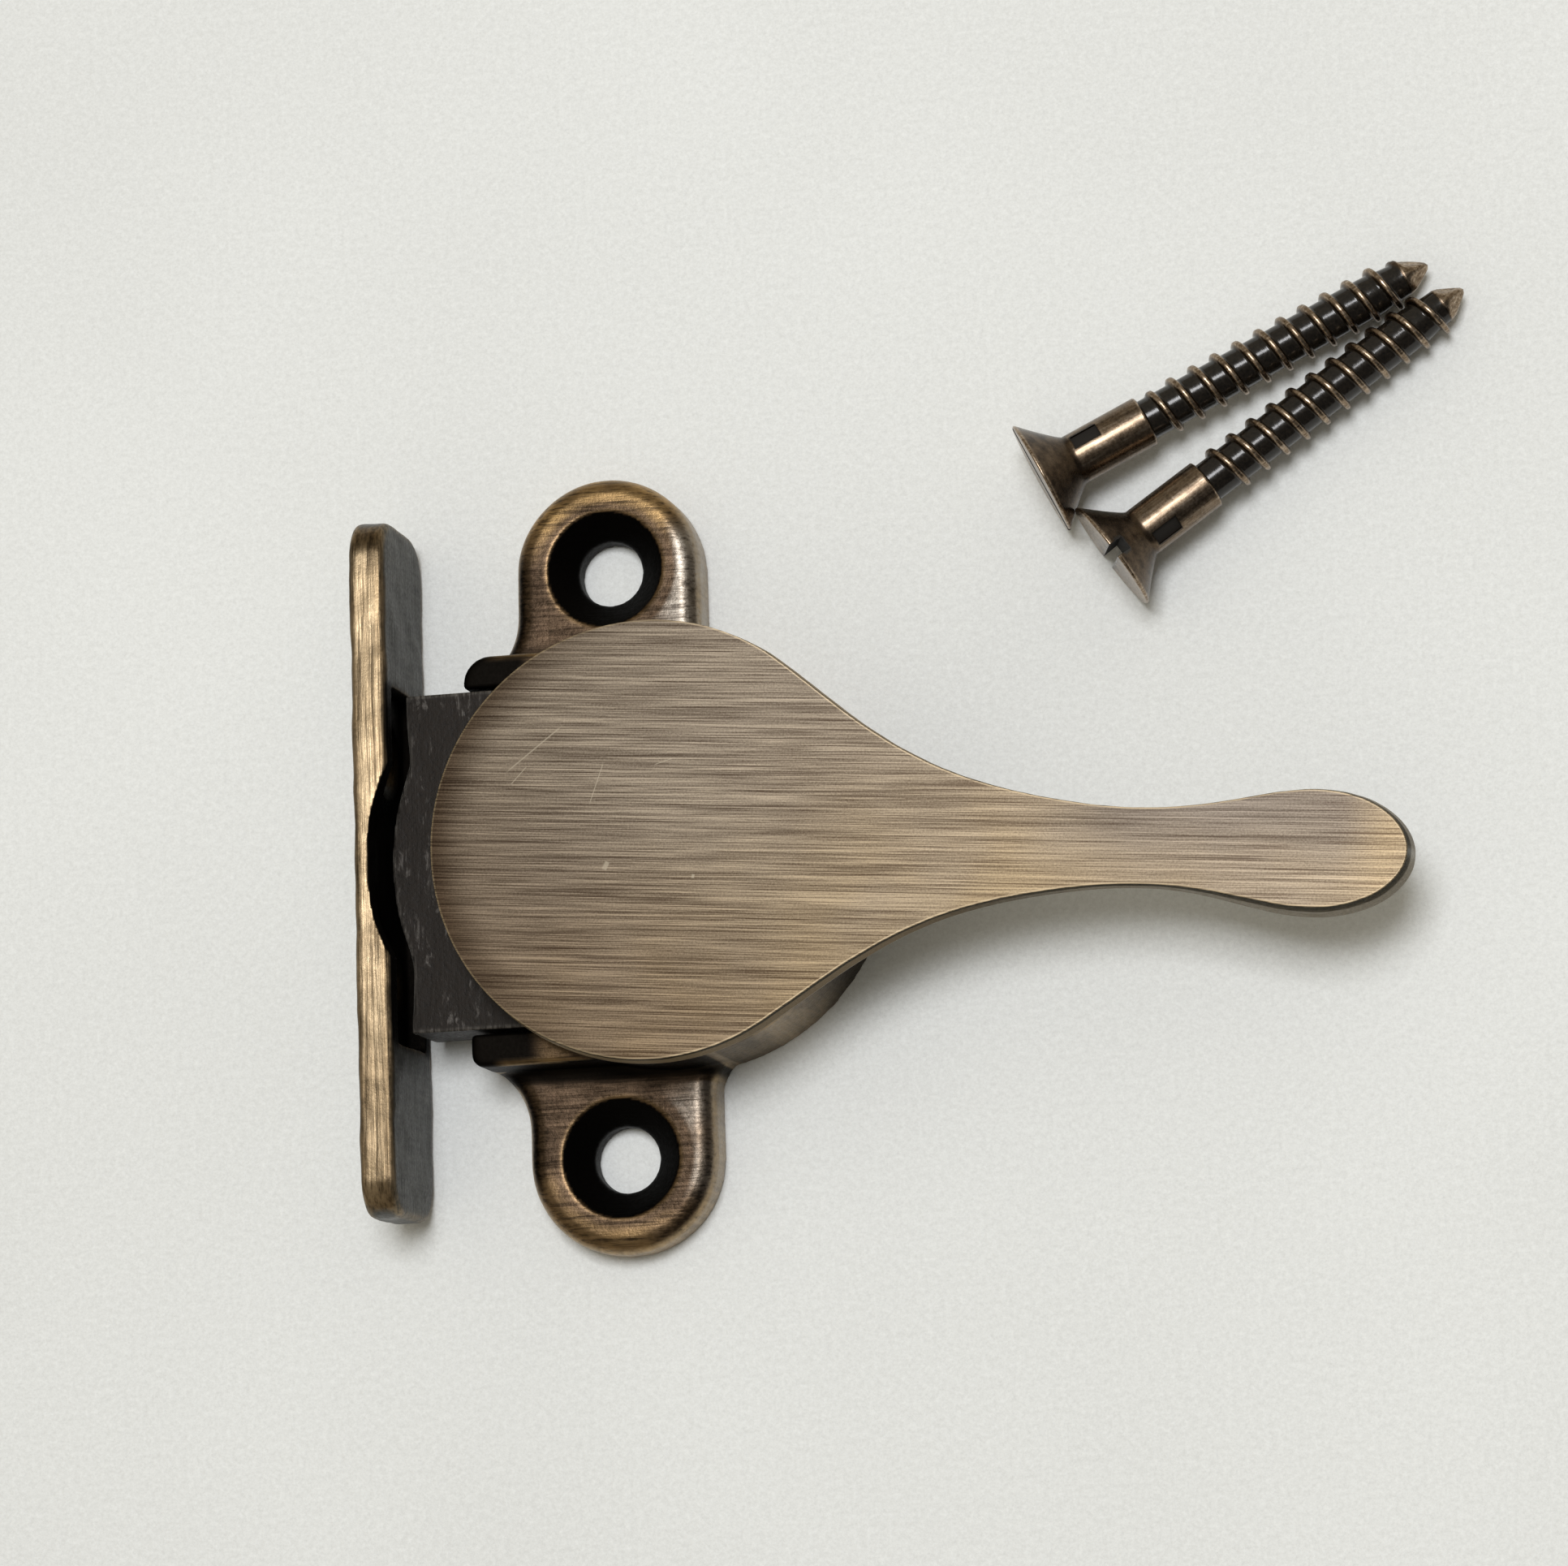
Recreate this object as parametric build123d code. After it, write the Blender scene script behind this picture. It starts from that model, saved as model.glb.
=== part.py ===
from build123d import *

import math
import os

# Toggle bolt latch: a cast case with two screw ears, a flat lever that turns a crank, a sliding
# bolt that the crank draws back, a loose keeper, and two wood screws that lie beside them.
#
# Frame, in millimetres: the origin is midway between the two ear holes on the mounting plane,
# +X runs along the lever, -X is the side the bolt shoots to, +Y runs from ear to ear, and +Z
# points away from the door.

# ---- driving dimensions -------------------------------------------------------------------

# ears and base of the case
HOLE_SPACING = 34.0          # from ear hole to ear hole
EAR_RADIUS = 5.45
EAR_TOP = 2.9
EAR_EDGE_ROUND = 1.1
HOLE_RADIUS = 1.88
SINK_RADIUS = 3.41           # countersink at the ear's top face
FLANK_BLEND_DRUM = 2.2       # concave corner between an ear and the drum
FLANK_BLEND_CHEEK = 4.0      # concave web from an ear to a cheek's front corner
WEB_OVERLAP = 0.05           # the web's arc bites this far into that corner's arc
FLANGE_INSET = 0.2           # the ear flange ends this far inside the drum's wall

# drum, cheeks and the hollow inside them
PIVOT_X = 3.5
DRUM_RADIUS = 12.2
DRUM_TOP = 7.2
DRUM_EDGE_ROUND = 0.5
ROOF_UNDER = 6.3
ROOF_FRONT_X = -5.0          # the roof stops here, and the channel is open in front of it
CAVITY_RADIUS = 10.6
CHEEK_FRONT_X = -7.8
CHEEK_HALF = 11.8
CHEEK_TOP = 6.0
CHEEK_CORNERS = {-1: 0.75, 1: 1.6}    # outer front corners; the upper one is rounder
CHEEK_EDGE_ROUND = 0.35
CHANNEL_HALF = 9.9
PLATE_MOUTH = 0.5            # the plate's seat is open this far behind the cheeks' front

# back plate and its rivets
PLATE_BACK = 0.1
PLATE_TOP = 1.3
PLATE_RADIUS = 11.3
PLATE_HALF = 10.3
PLATE_LOBE_RADIUS = 1.9
PLATE_GAP = 0.08             # between the plate's edge and its seat in the case
RIVET_RADIUS = 0.7
RIVET_HEAD_RADIUS = 1.3
RIVET_TOP = 2.4
LOBE_Y = 11.9
REAR_POST_X = 12.0
REAR_POST_RADIUS = 2.0

# lever
LEVER_ANGLE = -4.8           # degrees, where the lever rests
LEVER_TOP = 9.59
LEVER_UNDER = 7.59
DISC_RADIUS = 12.32
LEVER_TOP_BAND = 1.2         # height of the side band right under the top face
LEVER_FLARE = 0.3            # how far that band leans outwards on its way down
DISC_TANGENT_X = 7.0         # where the arm leaves the disc
NECK_X = 27.6
NECK_HALF = 2.09
KNOB_X = 37.0
KNOB_HALF = 3.2
KNOB_LENGTH = 5.05           # from the knob's widest place to the tip
KNOB_UNDER = 5.6
FLANK = [(11.3, 7.0), (16.1, 4.3), (21.8, 2.68), (NECK_X, NECK_HALF), (32.3, 2.53)]
UNDER_FLAT_X = 13.52         # the underside is flat up to here
NECK_UNDER = 7.3

# spindle, crank and bush
SPINDLE_RADIUS = 2.5
SPINDLE_TOP = 9.0
SPINDLE_END = 3.7
SQUARE_TOP = 6.25
SQUARE_ACROSS = 3.4
NECK_RADIUS = 1.0
END_RADIUS = 1.5
CRANK_TOP = 6.2
CRANK_UNDER = 4.7
CRANK_HUB_RADIUS = 3.5
CRANK_EYE_RADIUS = 1.5
CRANK_ARM = 4.02             # pivot to crank pin
CRANK_START = 115.0          # degrees, the pin's bearing from the pivot at rest
PIN_RADIUS = 1.0
PIN_STAKE_RADIUS = 0.8       # of its thin end, staked in the crank
PIN_END = 1.7
WASHER_UNDER = 4.42
WASHER_RADIUS = 2.9
CLIP_TOP = 4.36
CLIP_UNDER = 3.96
CLIP_RADIUS = 2.6
CLIP_MOUTH = 1.5             # width of its opening
CLIP_LOBE_X = 1.75           # gaps between its lobes
CLIP_LOBE_GAP = (0.5, 1.2)
CLIP_LOBE_ANGLES = (135, 225, 315)
BUSH_RADIUS = 3.3
BUSH_FLANGE_RADIUS = 5.0
BUSH_TOP = 7.5
RUNNING_GAP = 0.05

# bolt
BOLT_FRONT_X = -11.1
BOLT_HALF = 9.7
BOLT_UNDER = 1.4
BOLT_TOP = 6.2
BOLT_BLOCK_REAR_X = -6.2
BOLT_RAIL_REAR_X = 2.0
RAIL_INNER = 5.8
WEB_TOP = 3.4
WEB_REAR_X = 4.5
NOSE_HALF = 4.5
NOSE_PROUD = 0.9
NOSE_BLEND = 1.4
PIN_SLOT_GAP = 0.12
PIN_SLOT_OVERRUN = 0.3       # the cross slot is this much longer than the pin's path

# springs behind the bolt
SPRING_Y = 7.4
SPRING_Z = 3.8
SPRING_COIL_RADIUS = 1.3
SPRING_WIRE_RADIUS = 0.2
SPRING_TURNS = 6
SPRING_SEAT_X = 9.2
SPIGOT_RADIUS = 0.9
SPIGOT_LENGTH = 1.2
SPRING_PAD_HALF = 1.9        # half the width of the wall that the spring's seat stands in
SPRING_END_GAP = 0.05

# keeper
KEEPER_BACK_X = -13.9
KEEPER_FACE_X = -11.72
KEEPER_LENGTH = 40.1
KEEPER_HEIGHT = 8.0
KEEPER_CORNER = 2.2
KEEPER_EDGE_ROUND = 0.45
POCKET_HALF = 10.2
POCKET_UNDER = 1.2
POCKET_TOP = 6.6
POCKET_DEPTH = 1.15
NOTCH_HALF = 5.2
NOTCH_BLEND = 1.6
NOTCH_RISE = 0.2             # the notch's flanks run out this far in front of the face
NOTCH_LAP = 0.5              # the notch starts this far below the pocket's top
KEEPER_HOLE_SPACING = 13.0
KEEPER_HOLE_RADIUS = 1.6
KEEPER_SINK_RADIUS = 2.3

# wood screws
SCREW_LENGTH = 24.9
SCREW_HEAD_RADIUS = 3.34
SCREW_RIM = 0.12
SCREW_HEAD_DEPTH = 2.0
SHANK_RADIUS = 1.48
SHANK_END = 6.75
ROOT_RADIUS = 1.18
ROOT_END_RADIUS = 1.0
CREST_RADIUS = 1.5
ROOT_TAPER = 2.5             # the root narrows over this length before the tip
TIP_LENGTH = 1.5
TIP_RADIUS = 0.12
THREAD_PITCH = 1.41
THREAD_START = 7.6
THREAD_TURNS = 10.5
THREAD_FOOT = 0.42           # width of the thread's ridge where it stands on the root
THREAD_CREST = 0.14
THREAD_BITE = 0.12           # the thread starts this deep inside the root
SLOT_WIDTH = 0.8
SLOT_DEPTH = 0.9
NICK_LENGTH = 1.6
NICK_WIDTH = 0.9
NICK_DEPTH = 0.22
NICK_START = 2.5             # from the head's face
# head centre x, y, bearing of the tip in degrees, turn of its slot about its own axis, and
# turn of its nicks from the slot
SCREW_PLACES = [(25.62, 20.0, 26.2, 102.0, 55.0), (29.4, 15.2, 34.8, 12.0, 35.0)]

BIG = 60.0                   # reaches past everything when it cuts


# ---- helpers ------------------------------------------------------------------------------

def block(x0, x1, y0, y1, z0, z1):
    """A box between two corners."""
    centre = Pos((x0 + x1) / 2, (y0 + y1) / 2, (z0 + z1) / 2)
    return centre * Box(x1 - x0, y1 - y0, z1 - z0)


def post(x, y, radius, z0, z1):
    """An upright cylinder."""
    return Pos(x, y, (z0 + z1) / 2) * Cylinder(radius, z1 - z0)


def along_x(x0, x1, y, z, radius):
    """A cylinder that lies along X."""
    return Pos((x0 + x1) / 2, y, z) * Rot(0, 90, 0) * Cylinder(radius, x1 - x0)


def edges_at(shape, height):
    """The edges that lie flat at one height."""
    return [e for e in shape.edges()
            if abs(e.bounding_box().min.Z - height) < 1e-4
            and abs(e.bounding_box().max.Z - height) < 1e-4]


def write(name, shape):
    export_step(shape, f"parts/{name}.step")


# ---- case ---------------------------------------------------------------------------------

def ear_web(side):
    """The hollow-sided web between an ear's flank and the front corner of a cheek."""
    corner = CHEEK_CORNERS[side]
    corner_x, corner_y = CHEEK_FRONT_X + corner, CHEEK_HALF - corner
    blend_x = -EAR_RADIUS - FLANK_BLEND_CHEEK
    apart = FLANK_BLEND_CHEEK + corner - WEB_OVERLAP
    blend_y = corner_y + math.sqrt(apart ** 2 - (blend_x - corner_x) ** 2)
    share = (corner - WEB_OVERLAP / 2) / apart
    meet_x = corner_x + share * (blend_x - corner_x)
    meet_y = corner_y + share * (blend_y - corner_y)
    outline = [(meet_x, 0), (0, 0), (0, blend_y), (-EAR_RADIUS, blend_y), (meet_x, meet_y)]
    web = Polygon(*[(x, side * y) for x, y in outline[::side]], align=None)
    return web - Pos(blend_x, side * blend_y) * Circle(FLANK_BLEND_CHEEK)


def base_outline():
    """Drum, cheeks and both ears seen from above, with their concave corners rounded."""
    ear_y = HOLE_SPACING / 2
    ears = Rectangle(2 * EAR_RADIUS, HOLE_SPACING)
    for side in (-1, 1):
        ears += Pos(0, side * ear_y) * Circle(EAR_RADIUS)
    drum_radius = DRUM_RADIUS - FLANGE_INSET
    outline = ears + Pos(PIVOT_X, 0) * Circle(drum_radius)
    drum_corner_y = math.sqrt(drum_radius ** 2 - (EAR_RADIUS - PIVOT_X) ** 2)
    corners = [v for v in outline.vertices()
               if abs(v.X - EAR_RADIUS) < 0.05 and abs(abs(v.Y) - drum_corner_y) < 0.05]
    outline = fillet(corners, FLANK_BLEND_DRUM)
    for side in (-1, 1):
        outline += ear_web(side)
    return outline


def cheek_block():
    """The straight front of the case, with rounded front corners and outer top edges."""
    cheeks = block(CHEEK_FRONT_X, PIVOT_X, -CHEEK_HALF, CHEEK_HALF, 0, CHEEK_TOP)
    for side, radius in CHEEK_CORNERS.items():
        corner = [e for e in cheeks.edges().filter_by(Axis.Z)
                  if e.center().X < CHEEK_FRONT_X + 0.1 and e.center().Y * side > 0]
        cheeks = fillet(corner, radius)
    rear_x = PIVOT_X - 0.1
    rim = [e for e in edges_at(cheeks, CHEEK_TOP) if e.center().X < rear_x]
    return fillet(rim, CHEEK_EDGE_ROUND)


def plate_outline(grow):
    """The back plate: round behind the drum, square in the channel, with a lobe under each ear."""
    front_x = CHEEK_FRONT_X
    length = PIVOT_X - front_x
    half = PLATE_HALF + grow
    outline = Pos(front_x + length / 2, 0) * Rectangle(length, 2 * half)
    outline += Pos(PIVOT_X, 0) * Circle(PLATE_RADIUS + grow)
    for side in (-1, 1):
        outline += Pos(0, side * LOBE_Y) * Circle(PLATE_LOBE_RADIUS + grow)
    return outline


def rivet_places():
    return [(0, -LOBE_Y), (0, LOBE_Y), (REAR_POST_X, 0)]


def case():
    flange = extrude(base_outline(), EAR_TOP, dir=(0, 0, 1))
    flange = fillet(edges_at(flange, EAR_TOP), EAR_EDGE_ROUND)
    drum = post(PIVOT_X, 0, DRUM_RADIUS, 0, DRUM_TOP)
    drum = fillet(edges_at(drum, DRUM_TOP), DRUM_EDGE_ROUND)
    drum -= block(-BIG, ROOF_FRONT_X, -BIG, BIG, CHEEK_TOP, BIG)
    body = flange + drum + cheek_block()

    # channel for the bolt, open at the front, and the round hollow behind it
    body -= block(-BIG, PIVOT_X, -CHANNEL_HALF, CHANNEL_HALF, PLATE_TOP, ROOF_UNDER)
    body -= block(-BIG, ROOF_FRONT_X, -CHANNEL_HALF, CHANNEL_HALF, PLATE_TOP, BIG)
    hollow = post(PIVOT_X, 0, CAVITY_RADIUS, PLATE_TOP, ROOF_UNDER)
    hollow -= block(-BIG, PIVOT_X, -BIG, BIG, -BIG, BIG)
    for side in (-1, 1):
        pad_y = sorted((side * (SPRING_Y - SPRING_PAD_HALF), side * BIG))
        hollow -= block(SPRING_SEAT_X, BIG, *pad_y, -BIG, BIG)
    hollow -= post(REAR_POST_X, 0, REAR_POST_RADIUS, -BIG, BIG)
    hollow -= block(REAR_POST_X, BIG, -REAR_POST_RADIUS, REAR_POST_RADIUS, -BIG, BIG)
    body -= hollow
    for side in (-1, 1):
        body += along_x(SPRING_SEAT_X - SPIGOT_LENGTH, SPRING_SEAT_X + 0.1,
                        side * SPRING_Y, SPRING_Z, SPIGOT_RADIUS)

    # seat for the back plate, its rivet holes, and the bush hole in the roof
    body -= extrude(plate_outline(PLATE_GAP), PLATE_TOP)
    body -= block(-BIG, CHEEK_FRONT_X + PLATE_MOUTH, -PLATE_HALF - PLATE_GAP, PLATE_HALF + PLATE_GAP,
                  -BIG, PLATE_TOP)
    for x, y in rivet_places():
        body -= post(x, y, RIVET_RADIUS, 0, RIVET_TOP)
    body -= post(PIVOT_X, 0, BUSH_RADIUS, ROOF_UNDER - 1, BIG)

    # countersunk screw holes through the ears
    sink_depth = SINK_RADIUS - HOLE_RADIUS
    for side in (-1, 1):
        y = side * HOLE_SPACING / 2
        body -= post(0, y, HOLE_RADIUS, -1, BIG)
        body -= Pos(0, y, EAR_TOP - sink_depth / 2) * Cone(HOLE_RADIUS, SINK_RADIUS, sink_depth)
    return body


def back_plate():
    plate = Pos(0, 0, PLATE_BACK) * extrude(plate_outline(0), PLATE_TOP - PLATE_BACK)
    sink = RIVET_HEAD_RADIUS - RIVET_RADIUS
    for x, y in rivet_places():
        plate -= post(x, y, RIVET_RADIUS, 0, PLATE_TOP + 1)
        plate -= Pos(x, y, PLATE_BACK + sink / 2) * Cone(RIVET_HEAD_RADIUS, RIVET_RADIUS, sink)
    return plate


def plate_rivet(x, y):
    """A rivet with a countersunk head that lies flush with the back plate."""
    sink = RIVET_HEAD_RADIUS - RIVET_RADIUS
    head = Pos(x, y, PLATE_BACK + sink / 2) * Cone(RIVET_HEAD_RADIUS, RIVET_RADIUS, sink)
    return head + post(x, y, RIVET_RADIUS, PLATE_BACK + sink, RIVET_TOP)


def bush():
    """Flanged bearing: the sleeve sits in the roof and the flange carries the lever."""
    body = post(PIVOT_X, 0, BUSH_RADIUS, ROOF_UNDER, DRUM_TOP)
    body += post(PIVOT_X, 0, BUSH_FLANGE_RADIUS, DRUM_TOP, BUSH_TOP)
    return body - post(PIVOT_X, 0, SPINDLE_RADIUS + RUNNING_GAP, 0, BIG)


# ---- lever, spindle and crank, drawn with the pivot at x = 0 and the arm along +X ----------

def lever_outline(grow):
    """The lever seen from above, grown evenly by a small amount."""
    radius = DISC_RADIUS + grow
    leave = math.acos(DISC_TANGENT_X / DISC_RADIUS)
    start = (radius * math.cos(leave), radius * math.sin(leave))
    flank = [(x, y + grow) for x, y in FLANK]
    knob = (KNOB_X, KNOB_HALF + grow)
    side = Spline(start, *flank, knob,
                  tangents=[(math.sin(leave), -math.cos(leave)), (1, 0)])
    tip = EllipticalCenterArc((KNOB_X, 0), KNOB_LENGTH + grow, KNOB_HALF + grow, -90, arc_size=180)
    other = side.mirror(Plane.XZ)
    disc = ThreePointArc(start, (-radius, 0), (start[0], -start[1]))
    return make_face([side, tip, other, disc])


def lever():
    top = Plane.XY.offset(LEVER_TOP) * lever_outline(0)
    band = Plane.XY.offset(LEVER_TOP - LEVER_TOP_BAND) * lever_outline(LEVER_FLARE)
    body = loft([band, top])
    side_height = LEVER_TOP - LEVER_TOP_BAND - KNOB_UNDER
    body += extrude(Plane.XY.offset(KNOB_UNDER) * lever_outline(LEVER_FLARE), side_height)
    # side view of the underside: flat below the disc, thicker towards the knob
    with BuildSketch(Plane.XZ) as profile:
        with BuildLine():
            Polyline((-BIG, LEVER_UNDER), (UNDER_FLAT_X, LEVER_UNDER))
            Spline((UNDER_FLAT_X, LEVER_UNDER), (NECK_X - 2, NECK_UNDER),
                   (KNOB_X - 1, KNOB_UNDER), tangents=[(1, 0), (1, 0)])
            Polyline((KNOB_X - 1, KNOB_UNDER), (BIG, KNOB_UNDER), (BIG, 0), (-BIG, 0),
                     (-BIG, LEVER_UNDER))
        make_face()
    body -= extrude(profile.sketch, BIG, both=True)
    body -= post(0, 0, SPINDLE_RADIUS, 0, SPINDLE_TOP)
    return body


def spindle():
    """Round in the lever and the bush, square in the crank, with a grooved end for the ring."""
    body = post(0, 0, SPINDLE_RADIUS, SQUARE_TOP, SPINDLE_TOP)
    half = SQUARE_ACROSS / 2
    body += block(-half, half, -half, half, WASHER_UNDER, SQUARE_TOP)
    body += post(0, 0, NECK_RADIUS, CLIP_UNDER, WASHER_UNDER)
    return body + post(0, 0, END_RADIUS, SPINDLE_END, CLIP_UNDER)


def pin_place():
    bearing = math.radians(CRANK_START - LEVER_ANGLE)
    return CRANK_ARM * math.cos(bearing), CRANK_ARM * math.sin(bearing)


def crank_plate():
    """A plate that narrows from the hub to the eye of the crank pin."""
    x, y = pin_place()
    outline = make_hull((Circle(CRANK_HUB_RADIUS)
                         + Pos(x, y) * Circle(CRANK_EYE_RADIUS)).edges())
    body = Pos(0, 0, CRANK_UNDER) * extrude(outline, CRANK_TOP - CRANK_UNDER)
    half = SQUARE_ACROSS / 2
    body -= block(-half, half, -half, half, 0, BIG)
    return body - post(x, y, PIN_STAKE_RADIUS, 0, BIG)


def crank_pin():
    """Stepped pin: its thin end is staked in the crank's eye."""
    x, y = pin_place()
    return (post(x, y, PIN_RADIUS, PIN_END, CRANK_UNDER)
            + post(x, y, PIN_STAKE_RADIUS, CRANK_UNDER, CRANK_TOP))


def spindle_washer():
    body = post(0, 0, WASHER_RADIUS, WASHER_UNDER, CRANK_UNDER)
    half = SQUARE_ACROSS / 2
    return body - block(-half, half, -half, half, 0, BIG)


def retaining_ring():
    """An E-shaped ring that snaps into the spindle's groove from one side."""
    ring = Circle(CLIP_RADIUS) - Circle(NECK_RADIUS)
    ring -= Pos(CLIP_RADIUS, 0) * Rectangle(2 * CLIP_RADIUS, CLIP_MOUTH)
    for angle in CLIP_LOBE_ANGLES:
        ring -= Rot(0, 0, angle) * Pos(CLIP_LOBE_X, 0) * Rectangle(*CLIP_LOBE_GAP)
    return Pos(0, 0, CLIP_UNDER) * extrude(ring, CLIP_TOP - CLIP_UNDER)


def at_pivot(shape):
    """Turns a lever piece to its resting angle and puts it on the pivot."""
    return Pos(PIVOT_X, 0, 0) * Rot(0, 0, LEVER_ANGLE) * shape


# ---- bolt and springs ---------------------------------------------------------------------

def wavy_front(front_x, proud, half, blend, reach):
    """A front line along Y with one rounded bump, from -reach to +reach."""
    return Spline((front_x, -reach), (front_x, -half - blend / 2),
                  (front_x - proud / 2, -half + blend / 2), (front_x - proud, -half / 3),
                  (front_x - proud, half / 3), (front_x - proud / 2, half - blend / 2),
                  (front_x, half + blend / 2), (front_x, reach),
                  tangents=[(0, 1), (0, 1)])


def bumped_face(front_x, rear_x, proud, half, blend, reach):
    """A rectangle whose front carries the bump."""
    front = wavy_front(front_x, proud, half, blend, reach)
    back = Polyline((front_x, reach), (rear_x, reach), (rear_x, -reach), (front_x, -reach))
    return make_face([front, back])


def bolt():
    shape = bumped_face(BOLT_FRONT_X, BOLT_RAIL_REAR_X, NOSE_PROUD, NOSE_HALF, NOSE_BLEND,
                        BOLT_HALF)
    body = Pos(0, 0, BOLT_UNDER) * extrude(shape, BOLT_TOP - BOLT_UNDER)
    body -= block(BOLT_BLOCK_REAR_X, BIG, -RAIL_INNER, RAIL_INNER, WEB_TOP, BIG)
    body += block(BOLT_RAIL_REAR_X - 1, WEB_REAR_X, -RAIL_INNER, RAIL_INNER,
                  BOLT_UNDER, WEB_TOP)
    for side in (-1, 1):
        body += along_x(BOLT_RAIL_REAR_X - 0.5, BOLT_RAIL_REAR_X + SPIGOT_LENGTH,
                        side * SPRING_Y, SPRING_Z, SPIGOT_RADIUS)
    # cross slot for the crank pin
    start = math.radians(CRANK_START)
    slot_x = PIVOT_X + CRANK_ARM * math.cos(start)
    low = CRANK_ARM * math.sin(start) - PIN_SLOT_OVERRUN
    high = CRANK_ARM + PIN_SLOT_OVERRUN
    wide = PIN_RADIUS + PIN_SLOT_GAP
    body -= block(slot_x - wide, slot_x + wide, low, high, 0, WEB_TOP + 1)
    for y in (low, high):
        body -= post(slot_x, y, wide, 0, WEB_TOP + 1)
    return body


def bolt_spring(side):
    """Compression spring between the bolt's rail and its seat in the drum."""
    length = SPRING_SEAT_X - BOLT_RAIL_REAR_X - 2 * (SPRING_WIRE_RADIUS + SPRING_END_GAP)
    path = Helix(length / SPRING_TURNS, length, SPRING_COIL_RADIUS)
    section = Plane(path @ 0, z_dir=path % 0) * Circle(SPRING_WIRE_RADIUS)
    coil = sweep(section, path=path, is_frenet=True)
    start_x = BOLT_RAIL_REAR_X + SPRING_WIRE_RADIUS + SPRING_END_GAP
    return Pos(start_x, side * SPRING_Y, SPRING_Z) * Rot(0, 90, 0) * coil


# ---- keeper -------------------------------------------------------------------------------

def keeper():
    """A bar on its long edge, with a pocket for the bolt and a notch that leads its nose in."""
    thick = KEEPER_FACE_X - KEEPER_BACK_X
    middle_z = KEEPER_HEIGHT / 2
    body = Pos(KEEPER_BACK_X + thick / 2, 0, middle_z) * Box(thick, KEEPER_LENGTH, KEEPER_HEIGHT)
    body = fillet(body.edges().filter_by(Axis.X), KEEPER_CORNER)
    rims = [e for e in body.edges()
            if e.bounding_box().size.X < 1e-4]
    body = fillet(rims, KEEPER_EDGE_ROUND)
    pocket_floor = KEEPER_FACE_X - POCKET_DEPTH
    body -= block(pocket_floor, BIG, -POCKET_HALF, POCKET_HALF, POCKET_UNDER, POCKET_TOP)
    notch = bumped_face(KEEPER_FACE_X + NOTCH_RISE, KEEPER_FACE_X + 3, POCKET_DEPTH + NOTCH_RISE,
                        NOTCH_HALF, NOTCH_BLEND, NOTCH_HALF + 2)
    body -= Pos(0, 0, POCKET_TOP - NOTCH_LAP) * extrude(notch, BIG)
    sink = KEEPER_SINK_RADIUS - KEEPER_HOLE_RADIUS
    for side in (-1, 1):
        y = side * KEEPER_HOLE_SPACING / 2
        z = (POCKET_UNDER + POCKET_TOP) / 2
        body -= along_x(KEEPER_BACK_X - 1, pocket_floor + 1, y, z, KEEPER_HOLE_RADIUS)
        cone = Cone(KEEPER_HOLE_RADIUS, KEEPER_SINK_RADIUS, sink)
        body -= Pos(pocket_floor - sink / 2, y, z) * Rot(0, 90, 0) * cone
    return body


# ---- wood screws --------------------------------------------------------------------------

def thread():
    """One helical ridge, as a swept trapezium that bites into the root."""
    height = THREAD_PITCH * THREAD_TURNS
    foot = ROOT_RADIUS - THREAD_BITE
    path = Helix(THREAD_PITCH, height, foot)
    section = Plane(origin=path @ 0, x_dir=(1, 0, 0), z_dir=(0, 1, 0))
    rise = CREST_RADIUS - foot
    ridge = Polygon((0, -THREAD_FOOT / 2), (rise, -THREAD_CREST / 2), (rise, THREAD_CREST / 2),
                    (0, THREAD_FOOT / 2), align=None)
    return sweep(section * ridge, path=path, is_frenet=True)


def wood_screw(nick_turn):
    """Flat-head screw along +Z, with its head's face at z = 0."""
    neck = SCREW_HEAD_DEPTH
    tip_base = SCREW_LENGTH - TIP_LENGTH
    with BuildSketch(Plane.XZ) as profile:
        with BuildLine():
            Polyline((0, 0), (SCREW_HEAD_RADIUS, 0), (SCREW_HEAD_RADIUS, SCREW_RIM))
            Spline((SCREW_HEAD_RADIUS, SCREW_RIM), (SHANK_RADIUS + 0.6, neck * 0.55),
                   (SHANK_RADIUS, neck + 0.35), tangents=[(-1, 0.75), (0, 1)])
            Polyline((SHANK_RADIUS, neck + 0.35), (SHANK_RADIUS, SHANK_END),
                     (ROOT_RADIUS, SHANK_END + 0.15), (ROOT_RADIUS, tip_base - ROOT_TAPER),
                     (ROOT_END_RADIUS, tip_base), (TIP_RADIUS, SCREW_LENGTH - 0.05),
                     (0, SCREW_LENGTH), (0, 0))
        make_face()
    body = revolve(profile.sketch, Axis.Z)
    body -= block(-BIG, BIG, -SLOT_WIDTH / 2, SLOT_WIDTH / 2, -1, SLOT_DEPTH)
    for angle in (nick_turn, nick_turn + 180):
        nick = block(SHANK_RADIUS - NICK_DEPTH, BIG, -NICK_WIDTH / 2, NICK_WIDTH / 2,
                     NICK_START, NICK_START + NICK_LENGTH)
        body -= Rot(0, 0, angle) * nick
    return body + Pos(0, 0, THREAD_START) * thread()


def laid_screw(x, y, bearing, turn, nick_turn):
    """Lays a screw down so that its head's rim and its last threads rest on z = 0."""
    reach = THREAD_START + THREAD_PITCH * THREAD_TURNS
    slope = math.asin((SCREW_HEAD_RADIUS - CREST_RADIUS) / reach)
    height = SCREW_HEAD_RADIUS * math.cos(slope)
    place = Pos(x, y, height) * Rot(0, 0, bearing) * Rot(0, 90 + math.degrees(slope), 0)
    return place * Rot(0, 0, turn) * wood_screw(nick_turn)


# ---- output -------------------------------------------------------------------------------

os.makedirs("parts", exist_ok=True)

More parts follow.
